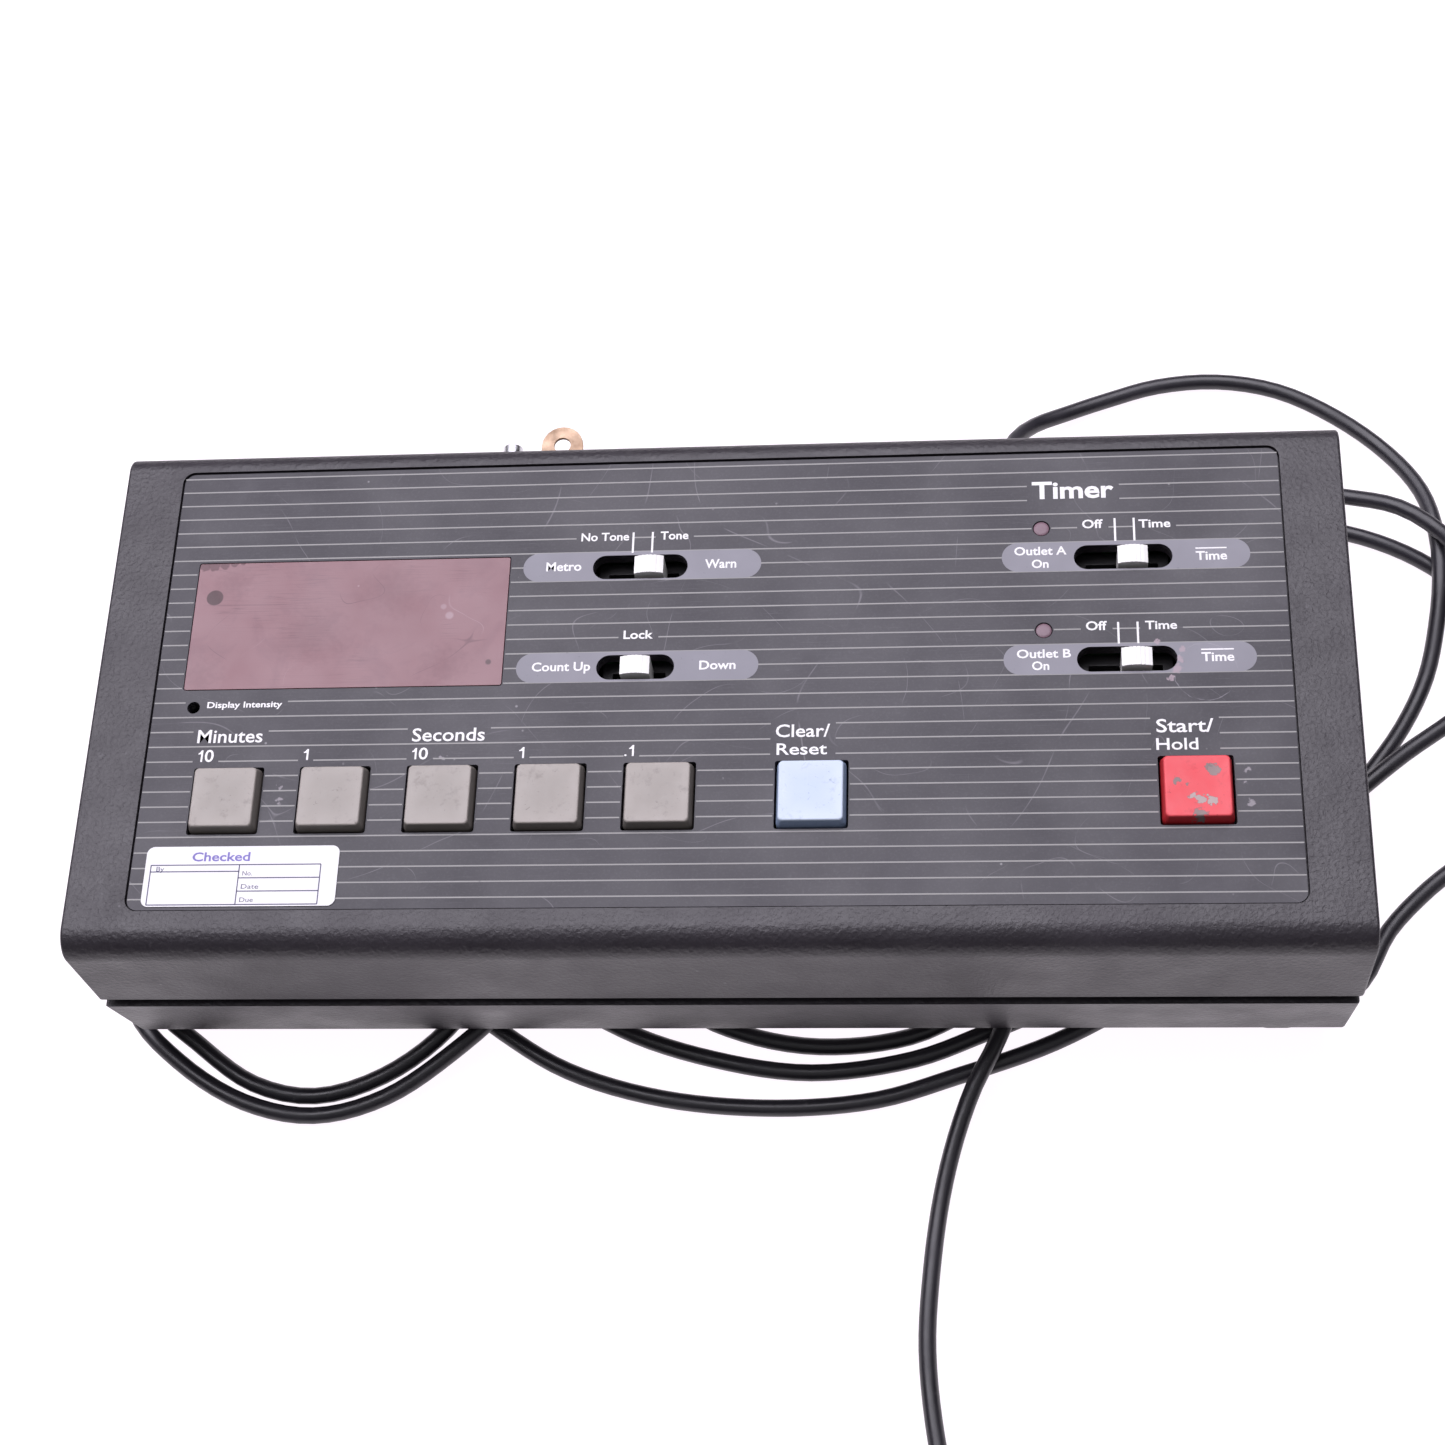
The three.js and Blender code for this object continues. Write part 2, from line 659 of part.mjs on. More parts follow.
addPart('transformer_core', transformerCore(), { color: 0x5a5654, roughness: 0.6, metalness: 0.6 });
addPart('transformer_coil', transformerCoil(), { color: 0x9c6a2c, roughness: 0.5 });
for (const [name, x] of [['relay_a', -15], ['relay_b', 10]]) {
  addPart(name, centredBlock(x, 15, 19, 15.5, powerMount, powerMount + 15.5), { color: 0xd9a62b });
}

addPart('beeper', built(
  [post(70, -15, 12, powerMount, powerMount + 9, 24)],
  [post(70, -15, 2, powerMount + 6, powerMount + 10, 12)],
), BLACK_PLASTIC);

// ---------- Back fittings ----------
function outletSocket(x) {
  const plateBack = clearance + outletPlateThickness;
  const body = [
    block(
      x - outletWidth / 2, x + outletWidth / 2, clearance, plateBack,
      outletLevel - outletHeight / 2, outletLevel + outletHeight / 2,
    ),
    block(
      x - outletBodyWidth / 2, x + outletBodyWidth / 2, -outletDepth, plateBack - 1,
      outletLevel - outletBodyHeight / 2, outletLevel + outletBodyHeight / 2,
    ),
  ];
  const slots = [-1, 1].map((side) => centredBlock(
    x + side * bladeSpacing / 2, plateBack, bladeThickness + 0.6, 2 * (bladeLength - 3),
    outletLevel - bladeWidth / 2 - 0.7, outletLevel + bladeWidth / 2 + 0.7,
  ));
  return onShellBack(built(body, slots));
}

for (const { name, x } of OUTLETS) addPart(name, outletSocket(x), BLACK_PLASTIC);

// A brass earthing lug: a leg flat on the back, held by a screw, and a tab that stands out with an eye in it.
const lug = {
  x: -halfWidth + lugFromLeft,
  screwX: -halfWidth + lugScrewFromLeft,
  top: shellHeight - lugFromTop,
  thickness: 1,
  legHeight: 9,
  screwRadius: 1.6,
  eyeRadius: 2.1,
};
const lugScrewLevel = lug.top - lug.legHeight / 2;

function groundLug() {
  const radius = lugWidth / 2;
  const straight = lugReach - clearance - radius;
  const tab = new THREE.Shape();
  tab.moveTo(-radius, 0);
  tab.lineTo(radius, 0);
  tab.lineTo(radius, straight);
  tab.absarc(0, straight, radius, 0, Math.PI);
  const flat = prism(tab, lug.top - lug.thickness, lug.top, { curveSegments: 6 })
    .translate(lug.x, clearance, 0);
  const leg = block(
    lug.screwX - 5.5, lug.x + radius, clearance, clearance + lug.thickness, lug.top - lug.legHeight, lug.top,
  );
  const holeRadius = lug.screwRadius + clearance;
  const screwHole = new THREE.CylinderGeometry(holeRadius, holeRadius, 6, 16)
    .translate(lug.screwX, 0, lugScrewLevel);
  const eye = post(lug.x, clearance + straight, lug.eyeRadius, lug.top - 3, lug.top + 1);
  return onShellBack(built([flat, leg], [screwHole, eye]));
}

function lugScrew() {
  const under = 2 * clearance + lug.thickness;
  const screw = turned([
    [0, clearance], [lug.screwRadius, clearance], [lug.screwRadius, under], [3.2, under], [3.2, under + 2],
    [2.4, under + 2.6], [2.4, under + 5.4], [0, under + 5.4],
  ], 0, 0);
  return onShellBack(screw.rotateX(-Math.PI / 2).translate(lug.screwX, 0, lugScrewLevel));
}

addPart('ground_lug', groundLug(), BRASS);
addPart('lug_screw', lugScrew(), STEEL);

// ---------- Lead ----------
// The strain relief: a neck through the base's back wall, a flange and a ribbed tapering sleeve.
function strainRelief() {
  const flange = clearance + 2;
  const tip = clearance + reliefLength;
  const outline = [
    [0, clearance - 7], [reliefNeckRadius, clearance - 7], [reliefNeckRadius, clearance],
    [6, clearance], [6, flange],
  ];
  const ribs = 4;
  const ribPitch = (reliefLength - 3) / ribs;
  for (let rib = 0; rib < ribs; rib += 1) {
    const start = flange + rib * ribPitch;
    const radius = 4.6 - 0.45 * rib;
    outline.push([radius, start], [radius - 0.2, start + 0.65 * ribPitch]);
    outline.push([radius - 0.9, start + 0.7 * ribPitch], [radius - 0.9, start + ribPitch]);
  }
  outline.push([2.6, tip], [0, tip]);
  return onBaseBack(turned(outline, 0, 0, 14).rotateX(-Math.PI / 2));
}

addPart('strain_relief', strainRelief(), RUBBER);

// The lead's route, from the strain relief to the plug. Where it crosses itself one run lies on the other.
const LEAD_ROUTE = [
  // out of the relief, down to the bench and round the back right corner
  [70, 86, 14.6], [70.3, 92.5, 13.3], [72.3, 99.5, 10.7], [77.5, 106, 7], [86.5, 111.5, 3.8],
  [97.5, 116.3, 2.3], [111, 120.3, 2.2], [127, 121.3, 2.2], [143, 117.8, 2.2], [158, 109, 2.2],
  [170.5, 97, 2.8], [177.8, 84, 5],
  [180.3, 70, 6.9], [180.2, 57, 6.5], [178.5, 44.5, 4], [175, 31, 2.3], [168, 17, 2.2], [157.5, 2.5, 2.2],
  // under the case and out at the front, the widest of the front arcs
  [142, -17, 2.6], [121, -41, 6], [101, -55, 6.9], [79, -66, 3.2], [55, -74.4, 2.2], [36, -80.2, 2.2],
  [12, -82.3, 2.2], [-16, -80, 2.2], [-40, -73, 2.2], [-57, -63, 2.2], [-76, -48.5, 2.2], [-96, -33, 2.2],
  // twice round the front left foot
  [-114, -24.5, 2.2], [-131, -24, 2.2], [-144, -31, 2.2], [-149.5, -43.5, 2.2], [-146, -56, 2.2],
  [-135, -65.5, 2.2], [-119, -76.3, 2.2], [-103, -79.4, 2.2], [-86, -74.5, 3.2], [-70, -63.5, 6.6],
  [-59.5, -46, 6.9], [-58, -25, 5], [-66, -7, 2.6], [-84, 5, 2.2], [-106, 7, 2.2], [-129, -0.5, 2.2],
  [-147, -16, 2.2], [-155, -37, 2.2], [-152, -57, 2.2], [-139, -70.5, 2.2], [-121, -81, 2.2],
  [-103, -84.4, 2.2], [-85, -79.9, 3.2], [-66, -67.5, 6.6],
  // under the case to the back right, and round the right side inside the next loop
  [-48.5, -50, 6.9], [-29, -28, 4.5], [-3, 0, 2.3], [30, 27, 2.2], [66, 50, 2.2], [103, 68, 2.2],
  [134, 76.5, 2.2], [158, 73.5, 2.2], [176, 65.2, 2.2], [188, 54, 2.2], [194, 40, 2.4], [190.5, 26.5, 4.6],
  [179.5, 16.5, 6.9], [167, 7.5, 6.9], [152, -5, 6.9], [133, -21, 6.9], [110, -38.5, 6.9], [88, -52, 6.7],
  // the middle front arc, and round under the case to the right side again
  [75, -58.3, 3.4], [62, -63.5, 2.2], [45, -70, 2.2], [20, -73.4, 2.2], [-4, -70, 2.2], [-27, -62.3, 2.2],
  [-44, -51, 2.2], [-52, -33, 2.2], [-52, -8, 2.2], [-42, 18, 2.2], [-20, 44, 2.2], [12, 68, 2.2],
  [52, 83, 2.2], [95, 90, 2.2], [132, 88.5, 2.5], [157, 82.5, 6], [171, 76.5, 10], [181, 67.5, 11.5],
  [190.5, 56, 8], [199, 40, 3], [202.5, 20, 2.2], [197, -1, 2.2], [184, -16, 2.2], [171, -26.5, 2.2],
  [160.5, -37.5, 2.2], [153, -50.5, 2.2], [143, -58, 2.2], [130, -60, 2.2], [115, -55.5, 2.2],
  // the inner front arc, and a last small loop under the case
  [98, -50, 2.2], [80, -50, 2.2], [62, -56, 2.2], [44, -64.3, 2.2], [22, -66.8, 2.2], [3, -63.4, 2.2],
  [-10, -57, 2.2], [-16.8, -45, 2.2], [-14, -31.5, 2.2], [-3, -23, 2.2], [13, -20, 2.2], [33, -20, 2.4],
  [51, -25, 4], [64.5, -36.5, 6.6], [70, -51, 6.9], [65.5, -66, 6.9],
  // over the front arcs and away along the bench to the plug
  [59.5, -78, 6.6], [55, -90, 4.2], [51.5, -104, 2.4], [49, -122, 2.2], [48, -140, 2.2], [50, -160, 2.2],
  [54, -178, 3.4], [59, -194, 6.4],
];
const leadPieces = 3;
const stepsPerPiece = 68;
const route = new THREE.CatmullRomCurve3(
  LEAD_ROUTE.map(([x, y, z]) => new THREE.Vector3(x, y, z)), false, 'centripetal',
);
route.arcLengthDivisions = 4000;

// One stretch of the route, between two shares of its length.
class Stretch extends THREE.Curve {
  constructor(start, end) {
    super();
    this.start = start;
    this.end = end;
  }

  getPoint(t, target = new THREE.Vector3()) {
    return target.copy(route.getPointAt(this.start + (this.end - this.start) * t));
  }
}

function leadStretch(index) {
  const endGap = clearance / 2 / route.getLength();
  const start = index / leadPieces + endGap;
  const end = (index + 1) / leadPieces - endGap;
  const section = new THREE.Shape();
  const sides = 8;
  for (let side = 0; side < sides; side += 1) {
    const angle = (2 * Math.PI * (side + 0.5)) / sides;
    const x = Math.cos(angle) * leadDiameter / 2;
    const y = Math.sin(angle) * leadDiameter / 2;
    if (side === 0) section.moveTo(x, y);
    else section.lineTo(x, y);
  }
  return new THREE.ExtrudeGeometry(section, {
    steps: stepsPerPiece,
    extrudePath: new Stretch(start, end),
    bevelEnabled: false,
  });
}

for (let index = 0; index < leadPieces; index += 1) {
  addPart(`lead_${index + 1}`, toGeometry(toSolid(leadStretch(index))), RUBBER);
}

// The plug lies on the bench at the lead's end, blades away from the lead.
const plugHeight = 12.8;
const plugWidth = 20;
const plugLength = 26;
const plugTail = 15;
const bladeSeat = 4;
const leadEnd = route.getPointAt(1);
const leadHeading = route.getTangentAt(1);
const plug = new THREE.Group();
plug.position.set(leadEnd.x, leadEnd.y, plugHeight / 2);
plug.rotation.z = Math.atan2(leadHeading.y, leadHeading.x);
timer.add(plug);

function plugBody() {
  const tail = new THREE.CylinderGeometry(4.6, 2.9, plugTail, 20)
    .rotateZ(-Math.PI / 2).translate(plugTail / 2 + clearance, 0, 0);
  const outline = roundedRectangle(plugLength, plugWidth, 4);
  const grip = prism(outline, -plugHeight / 2, plugHeight / 2, { bevel: 1.6 })
    .translate(plugTail + plugLength / 2, 0, 0);
  const pockets = [-1, 1].map((side) => centredBlock(
    plugTail + plugLength, side * bladeSpacing / 2, 2 * bladeSeat, bladeThickness + 2 * clearance,
    -bladeWidth / 2 - clearance, bladeWidth / 2 + clearance,
  ));
  return built([grip, tail], pockets);
}

function plugBlade(side) {
  const start = plugTail + plugLength - bladeSeat + clearance;
  return block(
    start, start + bladeLength + bladeSeat, side * bladeSpacing / 2 - bladeThickness / 2,
    side * bladeSpacing / 2 + bladeThickness / 2, -bladeWidth / 2, bladeWidth / 2,
  );
}

addPart('plug_body', plugBody(), RUBBER, plug);
addPart('plug_blade_left', plugBlade(-1), BRASS, plug);
addPart('plug_blade_right', plugBlade(1), BRASS, plug);

// The origin is under the middle of the case and its back fittings.
const frontEdge = -(halfDepth + baseProud);
const backEdge = halfDepth + lugReach * Math.cos(shellBackLean) - lug.top * Math.sin(shellBackLean);
timer.position.y = -(frontEdge + backEdge) / 2;

export default timer;
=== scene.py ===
"""The looks of the bench timer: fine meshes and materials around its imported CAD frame.

Everything is in metres in the frame of the part: +X to the operator's right, +Y to the back, +Z up.
"""
import math

import bmesh
import bpy
from mathutils import Matrix, Vector


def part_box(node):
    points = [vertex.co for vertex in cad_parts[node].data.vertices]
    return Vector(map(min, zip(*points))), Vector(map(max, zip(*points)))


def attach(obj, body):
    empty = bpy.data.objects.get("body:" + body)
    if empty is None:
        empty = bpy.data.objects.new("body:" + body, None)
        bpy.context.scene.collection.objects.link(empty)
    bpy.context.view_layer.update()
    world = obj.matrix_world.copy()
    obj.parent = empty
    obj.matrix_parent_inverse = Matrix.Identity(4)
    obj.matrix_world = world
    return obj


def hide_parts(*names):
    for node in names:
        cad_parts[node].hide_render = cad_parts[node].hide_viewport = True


MM = 0.001

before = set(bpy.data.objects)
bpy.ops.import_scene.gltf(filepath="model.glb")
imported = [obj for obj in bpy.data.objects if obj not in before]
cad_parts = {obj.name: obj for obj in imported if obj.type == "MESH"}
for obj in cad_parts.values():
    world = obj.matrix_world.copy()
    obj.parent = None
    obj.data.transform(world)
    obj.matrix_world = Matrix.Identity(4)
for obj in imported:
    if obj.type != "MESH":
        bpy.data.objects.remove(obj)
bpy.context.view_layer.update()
scene = bpy.context.scene

# ---------------------------------------------------------------- places taken from the frame
base_low, base_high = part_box("base_shell")
panel_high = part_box("overlay_panel")[1]
window_low, window_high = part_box("display_window")

PANEL_TOP = panel_high.z
# The case's own middle: the lead's route and the camera are given from there.
CASE_MIDDLE_Y = (base_low.y + base_high.y) / 2
KEY_NAMES = ["minutes_10", "minutes_1", "seconds_10", "seconds_1", "tenths", "clear", "start"]
SWITCH_NAMES = ["tone", "count", "outlet_a", "outlet_b"]
CORNER_NAMES = ["front_left", "front_right", "back_left", "back_right"]


def middle(node):
    low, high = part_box(node)
    return (low + high) / 2


key_at = {name: middle(f"key_{name}") for name in KEY_NAMES}


# ---------------------------------------------------------------- camera
def from_case(x, y, z):
    """A point given in millimetres from the middle of the case's footprint."""
    return Vector((x * MM, y * MM + CASE_MIDDLE_Y, z * MM))


def make_camera():
    data = bpy.data.cameras.new("camera")
    data.sensor_width = 36
    data.lens = 62.66
    data.clip_start = 0.01
    camera = bpy.data.objects.new("camera", data)
    place = from_case(64.48, -255.48, 592.3)
    aim = from_case(-0.38, 3.5, 40)
    roll = math.radians(-13.54)
    turn = (aim - place).to_track_quat("-Z", "Y").to_matrix().to_4x4()
    camera.matrix_world = Matrix.Translation(place) @ turn @ Matrix.Rotation(roll, 4, "Z")
    scene.collection.objects.link(camera)
    scene.camera = camera


make_camera()


# ---------------------------------------------------------------- node helpers
class Surface:
    """A material under construction: its node tree, and short ways to add what the surfaces share."""

    def __init__(self, name, color, roughness, metallic=0.0, specular=0.5, coat=0.0):
        self.material = bpy.data.materials.new(name)
        self.material.use_nodes = True
        self.tree = self.material.node_tree
        self.shader = self.tree.nodes["Principled BSDF"]
        self.shader.inputs["Metallic"].default_value = metallic
        self.shader.inputs["Specular IOR Level"].default_value = specular
        self.shader.inputs["Coat Weight"].default_value = coat
        self.shader.inputs["Roughness"].default_value = roughness
        self.shader.inputs["Base Color"].default_value = (*color, 1)
        self.place = self.node("ShaderNodeTexCoord").outputs["Object"]
        self.color = None
        self.bump = None
        self.base = (*color, 1)

    def node(self, kind, inputs=None, **settings):
        made = self.tree.nodes.new(kind)
        for key, value in settings.items():
            setattr(made, key, value)
        for key, value in (inputs or {}).items():
            if hasattr(value, "is_output"):
                self.tree.links.new(value, made.inputs[key])
            else:
                made.inputs[key].default_value = value
        return made

    def math(self, operation, *values, clamp=False):
        inputs = dict(enumerate(values))
        return self.node("ShaderNodeMath", inputs, operation=operation, use_clamp=clamp).outputs[0]

    def mapped(self, rotate=(0, 0, 0), scale=(1, 1, 1), shift=(0, 0, 0)):
        inputs = {"Vector": self.place, "Rotation": rotate, "Scale": scale, "Location": shift}
        return self.node("ShaderNodeMapping", inputs).outputs[0]

    def noise(self, feature, detail=2.0, roughness=0.5, vector=None, distortion=0.0):
        """Noise whose lumps are about feature metres across."""
        inputs = {
            "Vector": vector or self.place, "Scale": 1 / feature, "Detail": detail,
            "Roughness": roughness, "Distortion": distortion,
        }
        return self.node("ShaderNodeTexNoise", inputs).outputs["Fac"]

    def cells(self, feature, vector=None, output="Distance", randomness=1.0):
        inputs = {"Vector": vector or self.place, "Scale": 1 / feature, "Randomness": randomness}
        return self.node("ShaderNodeTexVoronoi", inputs).outputs[output]

    def ramp(self, value, low, high, start=0.0, end=1.0):
        inputs = {"Value": value, "From Min": low, "From Max": high, "To Min": start, "To Max": end}
        made = self.node("ShaderNodeMapRange", inputs, clamp=True)
        return made.outputs[0]

    def away(self, x, y, warp=0.0):
        """Distance from (x, y), its circles pulled about by up to half the warp."""
        place = self.place
        if warp:
            wander = self.node("ShaderNodeTexNoise", {"Vector": self.place, "Scale": 700, "Detail": 3.0})
            about_zero = {0: wander.outputs["Color"], 1: (0.5, 0.5, 0.5)}
            centred = self.node("ShaderNodeVectorMath", about_zero, operation="SUBTRACT")
            pull = {0: centred.outputs[0], "Scale": warp}
            scaled = self.node("ShaderNodeVectorMath", pull, operation="SCALE")
            place = self.node("ShaderNodeVectorMath", {0: place, 1: scaled.outputs[0]}).outputs[0]
        parts = self.node("ShaderNodeSeparateXYZ", {"Vector": place})
        dx = self.math("SUBTRACT", parts.outputs["X"], x)
        dy = self.math("SUBTRACT", parts.outputs["Y"], y)
        squares = self.math("ADD", self.math("MULTIPLY", dx, dx), self.math("MULTIPLY", dy, dy))
        return self.math("SQRT", squares)

    def spot(self, x, y, radius, soft, warp=0.0):
        """1 inside a circle about (x, y), falling to 0 over its soft rim."""
        return self.ramp(self.away(x, y, warp), radius, radius + soft, 1.0, 0.0)

    def hairlines(self, color, amount, feature=0.035, width=0.0015, shift=0.0):
        """Fine curved scratches that come and go."""
        field = self.noise(feature, 0.6, vector=self.mapped(shift=(shift, -shift, 0)), distortion=0.4)
        thin = self.ramp(self.math("ABSOLUTE", self.math("SUBTRACT", field, 0.5)), 0.0, width, 1.0, 0.0)
        where = self.ramp(self.noise(0.012, 2.0, vector=self.mapped(shift=(-shift, 0, 0))), 0.50, 0.62)
        self.tint(self.math("MULTIPLY", thin, where), color, amount)

    def tint(self, mask, color, amount=1.0):
        """Lays a colour over what is there, where the mask says."""
        under = self.color if self.color is not None else self.base
        share = self.math("MULTIPLY", mask, amount, clamp=True)
        mixed = self.node("ShaderNodeMix", data_type="RGBA")
        self.tree.links.new(share, mixed.inputs[0])
        if hasattr(under, "is_output"):
            self.tree.links.new(under, mixed.inputs[6])
        else:
            mixed.inputs[6].default_value = under
        mixed.inputs[7].default_value = (*color, 1)
        self.color = mixed.outputs[2]
        self.tree.links.new(self.color, self.shader.inputs["Base Color"])

    def vary(self, amount, feature, detail=3.0):
        """Broad light and dark patches of the base colour."""
        patches = self.ramp(self.noise(feature, detail), 0.3, 0.7)
        light = [min(1.0, c * (1 + amount)) for c in self.base[:3]]
        dark = [c * (1 - amount) for c in self.base[:3]]
        self.tint(patches, light)
        self.tint(self.math("SUBTRACT", 1.0, patches), dark, 0.8)

    def rough(self, low, high, feature, detail=3.0):
        value = self.ramp(self.noise(feature, detail), 0.3, 0.7, low, high)
        self.tree.links.new(value, self.shader.inputs["Roughness"])

    def raise_by(self, height, depth, strength=1.0):
        """Adds a bump of the given depth in metres."""
        inputs = {"Height": height, "Distance": depth, "Strength": strength}
        if self.bump is not None:
            inputs["Normal"] = self.bump
        self.bump = self.node("ShaderNodeBump", inputs).outputs[0]
        self.tree.links.new(self.bump, self.shader.inputs["Normal"])

    def scratches(self, color, amount, length=0.016, width=0.00012, turns=(0.5, 2.0, 2.9), cover=0.035):
        """Fine straight marks in a few directions, each broken up along its length."""
        for index, angle in enumerate(turns):
            stretch = (1 / length, 1 / width, 1 / length)
            stretched = self.mapped((0, 0, angle), stretch, (index * 7.3, index * 3.1, 0))
            lines = self.node(
                "ShaderNodeTexNoise", {"Vector": stretched, "Scale": 0.35, "Detail": 1.0},
            ).outputs["Fac"]
            thin = self.ramp(self.math("ABSOLUTE", self.math("SUBTRACT", lines, 0.5)), 0.0, cover, 1.0, 0.0)
            where = self.ramp(self.noise(0.02 + 0.007 * index, 2.0), 0.56, 0.68)
            self.tint(self.math("MULTIPLY", thin, where), color, amount)

    def specks(self, color, amount, feature=0.006, size=0.09):
        """Scattered small dots of dust."""
        far = self.cells(feature)
        pick = self.ramp(self.noise(0.011, 1.0), 0.55, 0.6)
        self.tint(self.math("MULTIPLY", self.ramp(far, size * 0.5, size, 1.0, 0.0), pick), color, amount)


# ---------------------------------------------------------------- materials
def case_material():
    s = Surface("case_plastic", (0.024, 0.020, 0.026), 0.40, specular=0.58)
    s.vary(0.2, 0.05)
    s.specks((0.20, 0.19, 0.21), 0.45, 0.009, 0.05)
    fine_dust = s.ramp(s.noise(0.0022, 4.0, 0.65), 0.60, 0.72)
    dusty = s.math("MULTIPLY", fine_dust, s.ramp(s.noise(0.03, 2.0), 0.5, 0.65))
    s.tint(dusty, (0.10, 0.095, 0.105), 0.4)
    s.rough(0.37, 0.48, 0.012)
    s.raise_by(s.noise(0.0009, 3.0, 0.6, distortion=0.8), 0.00016, 0.9)
    s.raise_by(s.cells(0.0012, output="Distance"), 0.00010, 0.8)
    return s.material


def residue(s):
    """Old glue by the right end of the lowest switch, and the faint ring of a stuck-on disc."""
    for x, y, radius in (
        (108.6, 6.6, 1.1), (108.0, 4.2, 1.0), (107.2, 1.6, 1.3), (105.6, -0.6, 0.9), (103.0, 8.6, 0.8),
    ):
        blot = s.spot(x * MM, y * MM + CASE_MIDDLE_Y, radius * 0.3 * MM, radius * 0.8 * MM, 2.6 * MM)
        s.tint(s.ramp(blot, 0.2, 0.55), (0.40, 0.31, 0.35), 0.75)
    away = s.away(113.6 * MM, 0.8 * MM + CASE_MIDDLE_Y, 0.8 * MM)
    ring = s.ramp(s.math("ABSOLUTE", s.math("SUBTRACT", away, 7.2 * MM)), 0.03 * MM, 0.14 * MM, 1.0, 0.0)
    s.tint(s.math("MULTIPLY", ring, s.ramp(s.noise(0.004, 2.0), 0.45, 0.55)), (0.36, 0.34, 0.38), 0.5)


def panel_material():
    s = Surface("panel_print", (0.021, 0.0185, 0.027), 0.42, specular=0.5)
    s.vary(0.07, 0.03)
    fine_smear = s.ramp(s.noise(0.022, 4.0, 0.6), 0.52, 0.75)
    smear = s.math("MULTIPLY", fine_smear, s.ramp(s.noise(0.06, 2.0), 0.45, 0.65))
    s.tint(smear, (0.10, 0.095, 0.11), 0.3)
    for index, shift in enumerate((0.0, 0.31, 0.77, 1.43)):
        s.hairlines((0.17, 0.16, 0.18), 0.75, 0.030 + 0.012 * index, 0.0013, shift)
    s.scratches((0.12, 0.115, 0.13), 0.4, length=0.008, width=0.00009, turns=(1.0, 2.4), cover=0.012)
    s.specks((0.34, 0.33, 0.35), 0.6, 0.008, 0.05)
    residue(s)
    pale_marks = ((121.6, -23.5, 0.9), (121.0, -27.0, 0.7), (122.2, -32.0, 1.1), (-100.2, -25.0, 0.7),
                  (-99.6, -28.6, 1.0), (-62.0, -18.5, 0.6))
    for x, y, radius in pale_marks:
        mark = s.spot(x * MM, y * MM + CASE_MIDDLE_Y, radius * 0.2 * MM, radius * MM, 4.5 * MM)
        s.tint(s.ramp(mark, 0.25, 0.6), (0.34, 0.31, 0.34), 0.65)
    s.rough(0.36, 0.5, 0.02)
    s.tint(s.ramp(s.noise(0.0006, 3.0, 0.7), 0.50, 0.70), (0.060, 0.056, 0.068), 0.35)
    s.raise_by(s.noise(0.0006, 3.0, 0.6), 0.00003, 0.5)
    s.raise_by(s.noise(0.03, 2.0), 0.0002, 0.25)
    return s.material


def print_material(name, color, roughness=0.5):
    s = Surface(name, color, roughness, specular=0.4)
    s.vary(0.06, 0.01)
    s.tint(s.ramp(s.noise(0.0012, 4.0, 0.65), 0.66, 0.74), (0.09, 0.085, 0.10), 0.55)
    s.raise_by(s.noise(0.0005, 2.0), 0.00001, 0.3)
    residue(s)
    return s.material


def window_material():
    s = Surface("window_filter", (0.235, 0.115, 0.130), 0.35, specular=0.5)
    s.vary(0.07, 0.03)
    s.tint(s.ramp(s.noise(0.011, 4.0, 0.62, distortion=0.6), 0.52, 0.72), (0.16, 0.07, 0.09), 0.45)
    s.scratches((0.10, 0.035, 0.05), 0.5, length=0.009, width=0.00016, turns=(0.3, 1.2, 2.4), cover=0.03)
    s.hairlines((0.10, 0.035, 0.05), 0.8, 0.02, 0.002, 0.4)
    s.hairlines((0.33, 0.21, 0.24), 0.6, 0.03, 0.0015, 0.9)
    s.specks((0.50, 0.36, 0.39), 0.5, 0.007, 0.06)
    corner_x = window_low.x
    corner_y = window_high.y
    s.tint(s.spot(corner_x + 4.7 * MM, corner_y - 9.4 * MM, 1.95 * MM, 0.2 * MM), (0.045, 0.008, 0.014), 0.97)
    s.tint(s.spot(corner_x + 73.2 * MM, corner_y - 28.0 * MM, 0.5 * MM, 0.35 * MM), (0.05, 0.015, 0.02), 0.9)
    s.tint(s.spot(corner_x + 62.9 * MM, corner_y - 15.4 * MM, 0.7 * MM, 0.5 * MM), (0.38, 0.27, 0.30), 0.6)
    s.tint(s.spot(corner_x + 61.3 * MM, corner_y - 13.0 * MM, 0.5 * MM, 0.4 * MM), (0.36, 0.25, 0.28), 0.5)
    for dx, dy, radius in (
        (1.2, 0.5, 1.5), (3.6, 0.6, 1.4), (6.2, 0.4, 1.3), (8.6, 0.2, 0.9), (10.6, 0.0, 0.6),
    ):
        smear = s.spot(corner_x + dx * MM, corner_y - dy * MM, radius * 0.6 * MM, radius * 0.6 * MM, 1.6 * MM)
        s.tint(s.ramp(smear, 0.2, 0.6), (0.075, 0.014, 0.024), 0.85)
    for dx, dy, radius in (
        (3.5, 31.0, 5.5), (30.0, 20.0, 8.0), (9.0, 5.0, 5.0), (62.0, 29.0, 6.0), (48.0, 8.0, 7.0),
    ):
        stain = s.spot(corner_x + dx * MM, corner_y - dy * MM, radius * 0.2 * MM, radius * MM, 9 * MM)
        s.tint(stain, (0.13, 0.045, 0.06), 0.38)
    s.rough(0.28, 0.46, 0.012)
    s.raise_by(s.noise(0.02, 2.0), 0.0002, 0.25)
    return s.material


